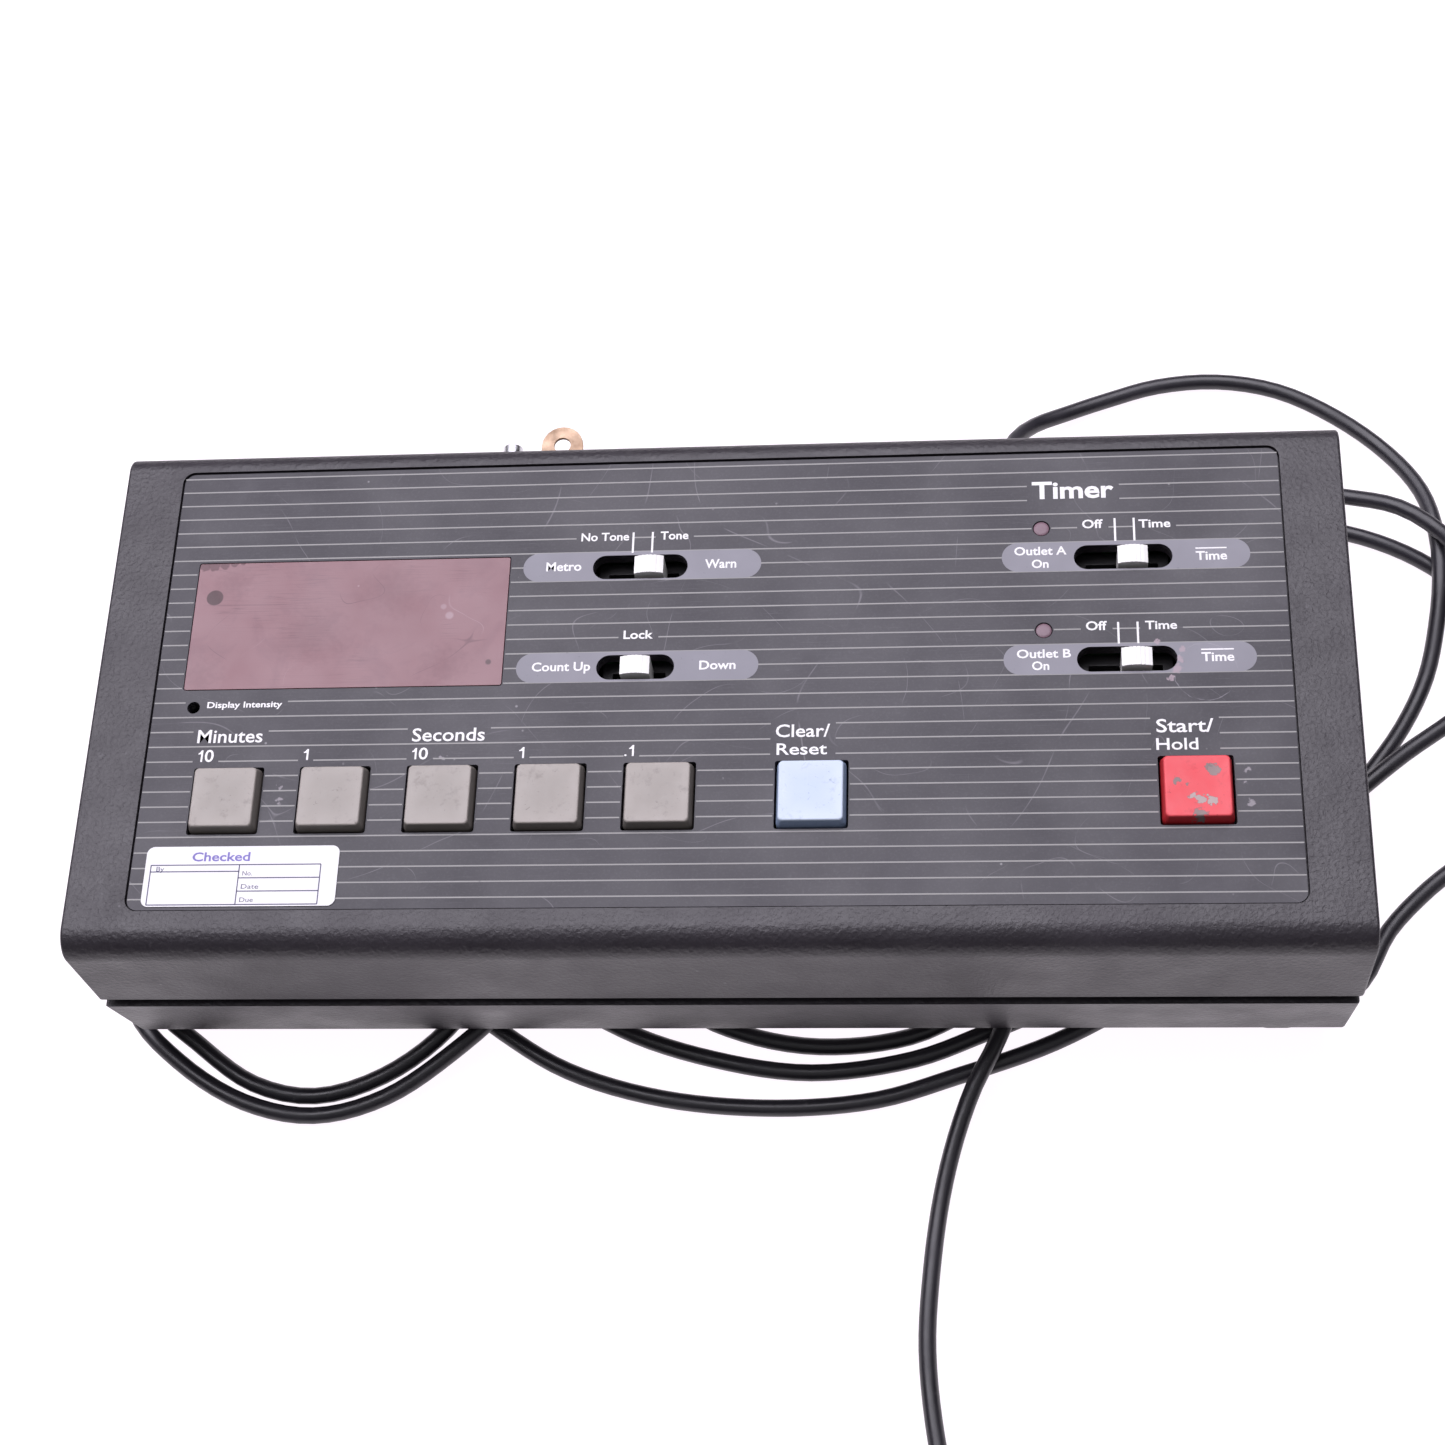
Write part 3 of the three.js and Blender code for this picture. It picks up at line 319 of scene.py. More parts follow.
# After the base colour come a paler colour, for the painted light on the key's top and for its scratches, and
# a dark colour, for its grime and for the painted shade on its sides.
def key_material(name, color, lit_top_and_scratch_color, dark):
    s = Surface(name, color, 0.48, specular=0.45)
    s.vary(0.05, 0.006)
    parts = s.node("ShaderNodeSeparateXYZ", {"Vector": s.place})
    # Painted light: the top face is tinted paler by height, as the light from above makes it look.
    crown = s.ramp(parts.outputs["Z"], PANEL_TOP + 1.9 * MM, PANEL_TOP + 2.55 * MM)
    s.tint(crown, lit_top_and_scratch_color, 0.8)
    s.tint(s.ramp(s.noise(0.0035, 4.0, 0.7), 0.56, 0.70), dark, 0.28)
    s.tint(s.ramp(s.noise(0.0016, 4.0, 0.7, distortion=1.5), 0.635, 0.70), dark, 0.5)
    # Painted shade: the lower sides are tinted with the dark colour, where their shadow falls.
    skirt = s.ramp(parts.outputs["Z"], PANEL_TOP - 1.5 * MM, PANEL_TOP + 1.2 * MM, 1.0, 0.0)
    s.tint(skirt, dark, 0.55)
    s.hairlines(lit_top_and_scratch_color, 0.5, 0.006, 0.004, 0.2)
    s.rough(0.42, 0.56, 0.003)
    s.raise_by(s.noise(0.0006, 2.0), 0.000012, 0.5)
    return s


def red_key_material():
    s = key_material("key_red", (0.70, 0.030, 0.040), (0.80, 0.10, 0.12), (0.30, 0.008, 0.012))
    centre = key_at["start"]
    chips = (
        (3.7, 3.9, 1.5, 0.40), (2.2, 4.6, 0.9, 0.30), (-4.6, 1.1, 0.9, 0.30), (-2.4, 0.2, 0.6, 0.3),
        (-1.2, -2.2, 1.3, 0.75), (0.4, -3.0, 1.1, 0.70), (2.9, -3.6, 1.3, 0.75), (0.2, -6.6, 1.6, 0.35),
    )
    for dx, dy, radius, brightness in chips:
        blot = s.spot(centre.x + dx * MM, centre.y + dy * MM, radius * 0.35 * MM, radius * 0.8 * MM, 3.4 * MM)
        torn = s.ramp(blot, 0.25, 0.45)
        s.tint(torn, (0.50 * brightness + 0.04, 0.44 * brightness + 0.04, 0.42 * brightness + 0.04), 0.92)
        rim = s.math("MULTIPLY", s.ramp(torn, 0.1, 0.5), s.ramp(torn, 0.5, 0.95, 1.0, 0.0))
        s.tint(rim, (0.20, 0.10, 0.10), 0.8)
    return s.material


def lead_material(name="lead_jacket"):
    s = Surface(name, (0.018, 0.0165, 0.022), 0.33, specular=0.6)
    s.vary(0.25, 0.02)
    s.tint(s.ramp(s.noise(0.003, 4.0, 0.7), 0.63, 0.75), (0.10, 0.10, 0.105), 0.35)
    s.rough(0.28, 0.46, 0.01)
    s.raise_by(s.noise(0.0018, 2.0), 0.00008, 0.3)
    return s.material


def rubber_material(name, color=(0.020, 0.019, 0.021), roughness=0.6):
    s = Surface(name, color, roughness, specular=0.4)
    s.vary(0.2, 0.01)
    s.tint(s.ramp(s.noise(0.002, 4.0, 0.7), 0.62, 0.75), (0.12, 0.12, 0.125), 0.3)
    s.rough(roughness - 0.12, roughness + 0.1, 0.005)
    s.raise_by(s.noise(0.0007, 3.0), 0.00004, 0.5)
    return s.material


def plastic_material(name, color, roughness=0.45, grain=0.0008):
    s = Surface(name, color, roughness, specular=0.45)
    s.vary(0.12, 0.01)
    s.rough(roughness - 0.08, roughness + 0.1, 0.004)
    s.raise_by(s.noise(grain, 2.0), 0.00002, 0.5)
    return s.material


def metal_material(name, color, roughness, stain):
    s = Surface(name, color, roughness, metallic=1.0)
    s.vary(0.12, 0.004)
    s.tint(s.ramp(s.noise(0.0025, 4.0, 0.65), 0.5, 0.7), stain, 0.5)
    s.rough(roughness - 0.1, roughness + 0.15, 0.003)
    brushed = s.mapped((0, 0, 0.2), (1 / 0.006, 1 / 0.0002, 1 / 0.0002))
    grain = s.node("ShaderNodeTexNoise", {"Vector": brushed, "Scale": 1.0, "Detail": 2.0})
    s.raise_by(grain.outputs["Fac"], 0.00001, 0.6)
    return s.material


def label_material():
    s = Surface("label_film", (0.80, 0.795, 0.81), 0.38, specular=0.5)
    s.vary(0.03, 0.012)
    edge_dirt = s.ramp(s.noise(0.003, 4.0, 0.6), 0.62, 0.75)
    s.tint(edge_dirt, (0.66, 0.64, 0.66), 0.4)
    s.raise_by(s.noise(0.006, 2.0), 0.00008, 0.3)
    return s.material


def board_material():
    s = Surface("circuit_board", (0.018, 0.085, 0.030), 0.35, specular=0.5)
    s.vary(0.2, 0.008)
    tracks = s.ramp(s.cells(0.0035, output="Distance", randomness=0.2), 0.36, 0.4, 0.0, 1.0)
    s.tint(tracks, (0.035, 0.15, 0.05), 0.8)
    s.raise_by(tracks, 0.00003, 0.4)
    return s.material


CASE = case_material()
PANEL = panel_material()
STRIPE_INK = print_material("stripe_ink", (0.31, 0.305, 0.30))
LEGEND_INK = print_material("legend_ink", (0.86, 0.85, 0.86))
PILL_INK = print_material("pill_ink", (0.245, 0.24, 0.275))
LABEL = label_material()
LABEL_INK = print_material("label_ink", (0.07, 0.065, 0.14))
LABEL_HEADING = print_material("label_heading_ink", (0.20, 0.17, 0.48))
WINDOW = window_material()
# Each key: base colour, then painted top light and scratches, then grime and painted side shade.
KEY_GREY = key_material("key_grey", (0.22, 0.20, 0.18), (0.42, 0.385, 0.355), (0.085, 0.07, 0.065)).material
KEY_BLUE = key_material("key_blue", (0.36, 0.47, 0.68), (0.66, 0.74, 0.84), (0.14, 0.20, 0.34)).material
KEY_RED = red_key_material()
WHITE = plastic_material("white_plastic", (0.93, 0.92, 0.89), 0.4)
BLACK = plastic_material("black_plastic", (0.016, 0.015, 0.017), 0.42)
OUTLET = plastic_material("outlet_plastic", (0.020, 0.018, 0.020), 0.38)
LENS = plastic_material("status_lens", (0.19, 0.115, 0.145), 0.3, 0.002)
LEAD = lead_material()
RELIEF = rubber_material("relief_rubber", roughness=0.5)
PLUG = rubber_material("plug_rubber", roughness=0.48)
FOOT = rubber_material("foot_rubber", roughness=0.75)
LUG_BRASS = metal_material("brass_plate", (0.40, 0.29, 0.21), 0.52, (0.26, 0.16, 0.10))
BLADE_BRASS = metal_material("brass_blade", (0.78, 0.62, 0.36), 0.28, (0.58, 0.42, 0.20))
STEEL = metal_material("zinc_steel", (0.58, 0.58, 0.60), 0.34, (0.36, 0.36, 0.38))
BOARD = board_material()


# ---------------------------------------------------------------- mesh helpers
def object_from(mesh, name, material):
    made = bpy.data.objects.new(name, mesh)
    mesh.materials.clear()
    mesh.materials.append(material)
    scene.collection.objects.link(made)
    return made


def mesh_from_bmesh(bm, name):
    bmesh.ops.recalc_face_normals(bm, faces=bm.faces)
    mesh = bpy.data.meshes.new(name)
    bm.to_mesh(mesh)
    bm.free()
    return mesh


def apply_modifiers(piece):
    depsgraph = bpy.context.evaluated_depsgraph_get()
    mesh = bpy.data.meshes.new_from_object(piece.evaluated_get(depsgraph))
    piece.modifiers.clear()
    piece.data = mesh


def smooth(piece, angle=32):
    """Shades the piece smooth, its normals led by its large faces."""
    piece.data.polygons.foreach_set("use_smooth", [True] * len(piece.data.polygons))
    piece.data.set_sharp_from_angle(angle=math.radians(angle))
    weighted = piece.modifiers.new("normals", "WEIGHTED_NORMAL")
    weighted.keep_sharp = True
    weighted.weight = 90


def soften(piece, width, segments=2, angle=32):
    """Rounds every edge that turns by more than the angle, then shades it smooth."""
    bevel = piece.modifiers.new("edges", "BEVEL")
    bevel.width = width
    bevel.segments = segments
    bevel.limit_method = "ANGLE"
    bevel.angle_limit = math.radians(angle)
    bevel.use_clamp_overlap = True
    bevel.miter_outer = "MITER_ARC"
    apply_modifiers(piece)
    smooth(piece)


def cut(piece, tool, operation="DIFFERENCE"):
    boolean = piece.modifiers.new("cut", "BOOLEAN")
    boolean.operation = operation
    boolean.object = tool
    boolean.solver = "EXACT"
    apply_modifiers(piece)
    bpy.data.objects.remove(tool)


def box_mesh(low, high, name="box"):
    bm = bmesh.new()
    bmesh.ops.create_cube(bm, size=1)
    size = Vector(high) - Vector(low)
    for v in bm.verts:
        v.co = Vector(low) + Vector((
            (v.co.x + 0.5) * size.x, (v.co.y + 0.5) * size.y, (v.co.z + 0.5) * size.z,
        ))
    return mesh_from_bmesh(bm, name)


def box_piece(low, high, name, material):
    return object_from(box_mesh(low, high, name), name, material)


def arc(x, y, radius, start, end, steps):
    """Points round an arc, its angles in degrees."""
    points = []
    for i in range(steps + 1):
        angle = math.radians(start + (end - start) * i / steps)
        points.append((x + radius * math.cos(angle), y + radius * math.sin(angle)))
    return points


def rounded_loop(x, y, width, depth, radius, steps=12):
    """A rounded rectangle about (x, y)."""
    half_x = width / 2 - radius
    half_y = depth / 2 - radius
    loop = arc(x + half_x, y + half_y, radius, 0, 90, steps)
    loop += arc(x - half_x, y + half_y, radius, 90, 180, steps)
    loop += arc(x - half_x, y - half_y, radius, 180, 270, steps)
    loop += arc(x + half_x, y - half_y, radius, 270, 360, steps)
    return loop


def circle_loop(x, y, radius, steps=40):
    return arc(x, y, radius, 0, 360 - 360 / steps, steps - 1)


def flat_mesh(loops, bottom, top, name, bevel=0.0):
    """A flat plate bounded by closed loops, the first its outside and the rest its holes."""
    curve = bpy.data.curves.new(name, "CURVE")
    curve.dimensions = "2D"
    curve.fill_mode = "BOTH"
    curve.extrude = (top - bottom) / 2 - bevel
    curve.bevel_depth = bevel
    curve.offset = -bevel
    curve.bevel_resolution = 2 if bevel else 0
    for loop in loops:
        spline = curve.splines.new("POLY")
        spline.points.add(len(loop) - 1)
        for point, (x, y) in zip(spline.points, loop):
            point.co = (x, y, 0, 1)
        spline.use_cyclic_u = True
    maker = bpy.data.objects.new(name, curve)
    scene.collection.objects.link(maker)
    bpy.context.view_layer.update()
    mesh = bpy.data.meshes.new_from_object(maker.evaluated_get(bpy.context.evaluated_depsgraph_get()))
    bpy.data.objects.remove(maker)
    mesh.transform(Matrix.Translation((0, 0, (bottom + top) / 2)))
    bm = bmesh.new()
    bm.from_mesh(mesh)
    bmesh.ops.remove_doubles(bm, verts=bm.verts, dist=1e-7)
    bmesh.ops.recalc_face_normals(bm, faces=bm.faces)
    bm.to_mesh(mesh)
    bm.free()
    return mesh


def lathe_mesh(profile, name, steps=48):
    """Turns (radius, height) pairs round the Z axis. The profile starts and ends on the axis."""
    bm = bmesh.new()
    rings = []
    for radius, height in profile:
        if radius < 1e-9:
            rings.append([bm.verts.new((0, 0, height))])
        else:
            rings.append([bm.verts.new((x, y, height)) for x, y in circle_loop(0, 0, radius, steps)])
    for lower, upper in zip(rings, rings[1:]):
        for i in range(steps):
            j = (i + 1) % steps
            if len(lower) == 1:
                bm.faces.new((lower[0], upper[i], upper[j]))
            elif len(upper) == 1:
                bm.faces.new((lower[i], lower[j], upper[0]))
            else:
                bm.faces.new((lower[i], lower[j], upper[j], upper[i]))
    return mesh_from_bmesh(bm, name)


def loft_mesh(rings, name):
    """Closed skin through rings of equal length, capped at both ends."""
    bm = bmesh.new()
    made = [[bm.verts.new(p) for p in ring] for ring in rings]
    count = len(rings[0])
    for lower, upper in zip(made, made[1:]):
        for i in range(count):
            j = (i + 1) % count
            bm.faces.new((lower[i], lower[j], upper[j], upper[i]))
    bm.faces.new(made[0])
    bm.faces.new(made[-1])
    return mesh_from_bmesh(bm, name)


def refined(node, material, width=0.0002, segments=2):
    """A finer copy of a CAD node, its edges rounded, that stands for the node."""
    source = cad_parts[node]
    bm = bmesh.new()
    bm.from_mesh(source.data)
    bm.transform(source.matrix_world)
    bmesh.ops.remove_doubles(bm, verts=bm.verts, dist=2e-6)
    bmesh.ops.dissolve_limit(bm, angle_limit=math.radians(0.5), verts=bm.verts, edges=bm.edges)
    piece = object_from(mesh_from_bmesh(bm, node + "_fine"), node + "_fine", material)
    soften(piece, width, segments)
    return piece


def settle(piece, body, slot, *nodes):
    """Rides on its body and stands for its CAD nodes, which it hides; its slot is not used."""
    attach(piece, body)
    if nodes:
        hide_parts(*nodes)
    return piece


# ---------------------------------------------------------------- lead
LEAD_DIAMETER = 4.2 * MM
# The route of part.mjs, in metres, from the strain relief to the plug.
LEAD_ROUTE = [
    # out of the relief, down to the bench and round the back right corner
    (0.07, 0.086, 0.0146), (0.0703, 0.0925, 0.0133), (0.0723, 0.0995, 0.0107), (0.0775, 0.106, 0.007),
    (0.0865, 0.1115, 0.0038),
    (0.0975, 0.1163, 0.0023), (0.111, 0.1203, 0.0022), (0.127, 0.1213, 0.0022), (0.143, 0.1178, 0.0022),
    (0.158, 0.109, 0.0022), (0.1705, 0.097, 0.0028), (0.1778, 0.084, 0.005),
    (0.1803, 0.07, 0.0069), (0.1802, 0.057, 0.0065), (0.1785, 0.0445, 0.004), (0.175, 0.031, 0.0023),
    (0.168, 0.017, 0.0022), (0.1575, 0.0025, 0.0022),
    # under the case and out at the front, the widest of the front arcs
    (0.142, -0.017, 0.0026), (0.121, -0.041, 0.006), (0.101, -0.055, 0.0069), (0.079, -0.066, 0.0032),
    (0.055, -0.0744, 0.0022), (0.036, -0.0802, 0.0022),
    (0.012, -0.0823, 0.0022), (-0.016, -0.08, 0.0022), (-0.04, -0.073, 0.0022), (-0.057, -0.063, 0.0022),
    (-0.076, -0.0485, 0.0022), (-0.096, -0.033, 0.0022),
    # twice round the front left foot
    (-0.114, -0.0245, 0.0022), (-0.131, -0.024, 0.0022), (-0.144, -0.031, 0.0022), (-0.1495, -0.0435, 0.0022),
    (-0.146, -0.056, 0.0022),
    (-0.135, -0.0655, 0.0022), (-0.119, -0.0763, 0.0022), (-0.103, -0.0794, 0.0022),
    (-0.086, -0.0745, 0.0032),
    (-0.07, -0.0635, 0.0066),
    (-0.0595, -0.046, 0.0069), (-0.058, -0.025, 0.005), (-0.066, -0.007, 0.0026), (-0.084, 0.005, 0.0022),
    (-0.106, 0.007, 0.0022), (-0.129, -0.0005, 0.0022),
    (-0.147, -0.016, 0.0022), (-0.155, -0.037, 0.0022), (-0.152, -0.057, 0.0022), (-0.139, -0.0705, 0.0022),
    (-0.121, -0.081, 0.0022),
    (-0.103, -0.0844, 0.0022), (-0.085, -0.0799, 0.0032), (-0.066, -0.0675, 0.0066),
    # under the case to the back right, and round the right side inside the next loop
    (-0.0485, -0.05, 0.0069), (-0.029, -0.028, 0.0045), (-0.003, 0, 0.0023), (0.03, 0.027, 0.0022),
    (0.066, 0.05, 0.0022), (0.103, 0.068, 0.0022),
    (0.134, 0.0765, 0.0022), (0.158, 0.0735, 0.0022), (0.176, 0.0652, 0.0022), (0.188, 0.054, 0.0022),
    (0.194, 0.04, 0.0024), (0.1905, 0.0265, 0.0046),
    (0.1795, 0.0165, 0.0069), (0.167, 0.0075, 0.0069), (0.152, -0.005, 0.0069), (0.133, -0.021, 0.0069),
    (0.11, -0.0385, 0.0069), (0.088, -0.052, 0.0067),
    # the middle front arc, and round under the case to the right side again
    (0.075, -0.0583, 0.0034), (0.062, -0.0635, 0.0022), (0.045, -0.07, 0.0022), (0.02, -0.0734, 0.0022),
    (-0.004, -0.07, 0.0022), (-0.027, -0.0623, 0.0022),
    (-0.044, -0.051, 0.0022), (-0.052, -0.033, 0.0022), (-0.052, -0.008, 0.0022), (-0.042, 0.018, 0.0022),
    (-0.02, 0.044, 0.0022), (0.012, 0.068, 0.0022),
    (0.052, 0.083, 0.0022), (0.095, 0.09, 0.0022), (0.132, 0.0885, 0.0025), (0.157, 0.0825, 0.006),
    (0.171, 0.0765, 0.01), (0.181, 0.0675, 0.0115),
    (0.1905, 0.056, 0.008), (0.199, 0.04, 0.003), (0.2025, 0.02, 0.0022), (0.197, -0.001, 0.0022),
    (0.184, -0.016, 0.0022), (0.171, -0.0265, 0.0022),
    (0.1605, -0.0375, 0.0022), (0.153, -0.0505, 0.0022), (0.143, -0.058, 0.0022), (0.13, -0.06, 0.0022),
    (0.115, -0.0555, 0.0022),
    # the inner front arc, and a last small loop under the case
    (0.098, -0.05, 0.0022), (0.08, -0.05, 0.0022), (0.062, -0.056, 0.0022), (0.044, -0.0643, 0.0022),
    (0.022, -0.0668, 0.0022), (0.003, -0.0634, 0.0022),
    (-0.01, -0.057, 0.0022), (-0.0168, -0.045, 0.0022), (-0.014, -0.0315, 0.0022), (-0.003, -0.023, 0.0022),
    (0.013, -0.02, 0.0022), (0.033, -0.02, 0.0024),
    (0.051, -0.025, 0.004), (0.0645, -0.0365, 0.0066), (0.07, -0.051, 0.0069), (0.0655, -0.066, 0.0069),
    # over the front arcs and away along the bench to the plug
    (0.0595, -0.078, 0.0066), (0.055, -0.09, 0.0042), (0.0515, -0.104, 0.0024), (0.049, -0.122, 0.0022),
    (0.048, -0.14, 0.0022), (0.05, -0.16, 0.0022),
    (0.054, -0.178, 0.0034), (0.059, -0.194, 0.0064),
]


def catmull_rom(points, spacing):
    """Points along the centripetal Catmull-Rom curve through the route, about spacing apart."""
    ends = [points[0] * 2 - points[1], *points, points[-1] * 2 - points[-2]]
    out = []
    for p0, p1, p2, p3 in zip(ends, ends[1:], ends[2:], ends[3:]):
        t1 = math.sqrt((p1 - p0).length)
        t2 = t1 + math.sqrt((p2 - p1).length)
        t3 = t2 + math.sqrt((p3 - p2).length)
        steps = max(2, round((p2 - p1).length / spacing))
        for i in range(steps):
            t = t1 + (t2 - t1) * i / steps
            a1 = p0 * ((t1 - t) / t1) + p1 * (t / t1)
            a2 = p1 * ((t2 - t) / (t2 - t1)) + p2 * ((t - t1) / (t2 - t1))
            a3 = p2 * ((t3 - t) / (t3 - t2)) + p3 * ((t - t2) / (t3 - t2))
            b1 = a1 * ((t2 - t) / t2) + a2 * (t / t2)
            b2 = a2 * ((t3 - t) / (t3 - t1)) + a3 * ((t - t1) / (t3 - t1))
            out.append(b1 * ((t2 - t) / (t2 - t1)) + b2 * ((t - t1) / (t2 - t1)))
    out.append(points[-1])
    return out


def make_lead():
    points = [Vector((x, y + CASE_MIDDLE_Y, z)) for x, y, z in LEAD_ROUTE]
    line = catmull_rom(points, 0.004)
    curve = bpy.data.curves.new("lead", "CURVE")
    curve.dimensions = "3D"
    curve.bevel_depth = LEAD_DIAMETER / 2
    curve.bevel_resolution = 6
    curve.use_fill_caps = True
    spline = curve.splines.new("POLY")
    spline.points.add(len(line) - 1)
    for point, place in zip(spline.points, line):
        point.co = (*place, 1)
    spline.use_smooth = True
    curve.materials.append(LEAD)
    piece = bpy.data.objects.new("lead", curve)
    scene.collection.objects.link(piece)
    settle(piece, "root", "lead_jacket", "lead_1", "lead_2", "lead_3")
    return piece, points


lead, lead_points = make_lead()


def make_strain_relief():
    """A neck, a flange and a ribbed sleeve that tapers to the lead, square to the base's leaning back."""
    lean = math.atan(3 / 26.5)
    seat = from_case(70, 65.39, 17)
    heading = Vector((0, math.cos(lean), -math.sin(lean)))
    profile = [(0, -6.7), (3.9, -6.7), (3.9, 0.3), (5.6, 0.3), (6, 0.7), (6, 1.9), (5.6, 2.3)]
    for rib in range(4):
        start = 2.3 + rib * 4.25
        radius = 4.6 - 0.45 * rib
        profile += [(radius - 0.2, start), (radius, start + 0.3), (radius - 0.15, start + 2.5)]
        profile += [(radius - 0.4, start + 2.9), (radius - 0.9, start + 3.0), (radius - 0.9, start + 4.2)]
    profile += [(2.75, 19.5), (2.6, 20.1), (2.3, 20.3), (0, 20.3)]
    mesh = lathe_mesh([(r * MM, h * MM) for r, h in profile], "strain_relief_fine", 40)
    turn = heading.to_track_quat("Z", "X").to_matrix().to_4x4()
    mesh.transform(Matrix.Translation(seat) @ turn)
    piece = object_from(mesh, "strain_relief_fine", RELIEF)
    smooth(piece)
    return settle(piece, "root", "relief_rubber", "strain_relief")


relief = make_strain_relief()


def make_plug():
    """A moulded two-blade plug at the lead's end: a grip with finger ridges, and a tapering tail."""
    end = lead_points[-1]
    heading = (lead_points[-1] - lead_points[-2])
    heading.z = 0
    low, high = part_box("plug_body")
    centre_z = (low.z + high.z) / 2
    turn = Matrix.Rotation(math.atan2(heading.y, heading.x), 4, "Z")
    place = Matrix.Translation((end.x, end.y, centre_z)) @ turn
    length, width, height, tail = 26 * MM, 20 * MM, 12.8 * MM, 15 * MM
    rings = []
    stations = (
        (0.3 * MM, 5.6 * MM, 5.6 * MM), (tail * 0.5, 7.0 * MM, 7.0 * MM),
        (tail - 2.5 * MM, 8.8 * MM, 8.4 * MM),
        (tail - 0.5 * MM, 10.5 * MM, 9.2 * MM), (tail + 0.8 * MM, 14.5 * MM, 10.8 * MM),
        (tail + 3.0 * MM, 17.4 * MM, 12.2 * MM), (tail + 6.0 * MM, 18.2 * MM, height),
        (tail + 9.0 * MM, 17.6 * MM, height), (tail + 12.0 * MM, 18.4 * MM, height),
        (tail + 15.0 * MM, 17.9 * MM, height), (tail + 18.5 * MM, 19.2 * MM, height),
        (tail + 22.0 * MM, width, height), (tail + length - 1.2 * MM, width, height),
        (tail + length - 0.3 * MM, width - 0.7 * MM, height - 0.7 * MM),
        (tail + length, width - 2 * MM, height - 2 * MM),
    )
    for x, w, h in stations:
        corner = min(w, h) * (0.49 if w == h else 0.36)
        rings.append([(x, a, b) for a, b in rounded_loop(0, 0, w, h, corner, 8)])
    mesh = loft_mesh(rings, "plug_grip")
    body = object_from(mesh, "plug_grip", PLUG)
    for side in (-1, 1):
        blade_y = side * 12.7 / 2 * MM
        tool = box_piece(
            (tail + length - 4.2 * MM, blade_y - 1.05 * MM, -3.5 * MM),
            (tail + length + 5 * MM, blade_y + 1.05 * MM, 3.5 * MM), "pocket", PLUG,
        )
        cut(body, tool)
    for side in (-1, 1):
        for index in range(4):
            x = tail + (7.5 + 3 * index) * MM
            groove = box_piece(
                (x - 0.45 * MM, side * 8.6 * MM - 1.0 * MM, -4.2 * MM),
                (x + 0.45 * MM, side * 8.6 * MM + 1.0 * MM, 4.2 * MM), "groove", PLUG,
            )
            cut(body, groove)
    body.data.transform(place)
    smooth(body, 40)
    settle(body, "root", "plug_rubber", "plug_body")
    blades = []
    for side, node in ((-1, "plug_blade_left"), (1, "plug_blade_right")):
        start = tail + length - 4 * MM + 0.3 * MM
        end_x = start + 20 * MM
        y = side * 12.7 / 2 * MM
        outline = rounded_loop((start + end_x) / 2, 0, end_x - start, 6.35 * MM, 1.5 * MM, 8)
        hole = circle_loop(end_x - 4 * MM, 0, 1.6 * MM, 24)
        blade_mesh = flat_mesh([outline, hole], -0.75 * MM, 0.75 * MM, node + "_fine", 0.15 * MM)
        blade_mesh.transform(place @ Matrix.Translation((0, y, 0)) @ Matrix.Rotation(math.pi / 2, 4, "X"))
        blade = object_from(blade_mesh, node + "_fine", BLADE_BRASS)
        smooth(blade)
        blades.append(settle(blade, "root", "brass_blade", node))
    return [body, *blades]


plug_pieces = make_plug()


# ---------------------------------------------------------------- case
def ring_prism(loops, bottom, top, name, bevel=0.0):
    """A prism of the loops given in millimetres from the case's middle."""
    moved = [[(x * MM, y * MM + CASE_MIDDLE_Y) for x, y in loop] for loop in loops]
    return flat_mesh(moved, bottom * MM, top * MM, name, bevel * MM)


def along_x(loop, left, right, name, bevel=0.0):
    """A bar along X whose section is the (y, z) loop, in millimetres."""
    mesh = flat_mesh([[(y * MM, z * MM) for y, z in loop]], left * MM, right * MM, name, bevel * MM)
    turn = Matrix(((0, 0, 1, 0), (1, 0, 0, CASE_MIDDLE_Y), (0, 1, 0, 0), (0, 0, 0, 1)))
    mesh.transform(turn)
    return mesh


def joined(meshes, name, material):
    bm = bmesh.new()
    for mesh in meshes:
        bm.from_mesh(mesh)
        bpy.data.meshes.remove(mesh)
    return object_from(mesh_from_bmesh(bm, name), name, material)


def slot_loop(x, y, length, depth, steps=14):
    """A slot with round ends, along X."""
    half = (length - depth) / 2
    return arc(x + half, y, depth / 2, -90, 90, steps) + arc(x - half, y, depth / 2, 90, 270, steps)


PANEL_MIDDLE = 2.0
PANEL_SIZE = (266.2, 115.4)
PANEL_CORNER = 2.7
RECESS_FLOOR = 68.4
ROOF = 65.9
WINDOW_MIDDLE = (-87.95, 17.35)
WINDOW_SIZE = (76.7, 34.1)
KEY_HOLE = 16.8
KEY_ROW = -28.6
KEY_X = {"minutes_10": -112.7, "minutes_1": -87.3, "seconds_10": -61.9, "seconds_1": -36.5, "tenths": -11.1,
         "clear": 23.9, "start": 110.3}
SLOTS = {"tone": (-18, 31.1, 22.75), "count": (-18, 4.4, 18.35), "outlet_a": (96, 31.1, 22.75),
         "outlet_b": (96, 4.4, 22.75)}
SLOT_DEPTH = 6.3
LENSES = {"a": (77.2, 39.1), "b": (77.2, 12.1)}
LENS_RADIUS = 1.85
TRIMMER = (-123.3, -4.4)
TRIMMER_RADIUS = 1.5


def panel_holes():
    loops = [rounded_loop(x, KEY_ROW, KEY_HOLE, KEY_HOLE, 0.6, 5) for x in KEY_X.values()]
    loops += [slot_loop(x, y, length, SLOT_DEPTH) for x, y, length in SLOTS.values()]
    loops += [circle_loop(x, y, LENS_RADIUS + 0.15) for x, y in LENSES.values()]
    loops.append(circle_loop(*TRIMMER, TRIMMER_RADIUS, 28))
    return loops


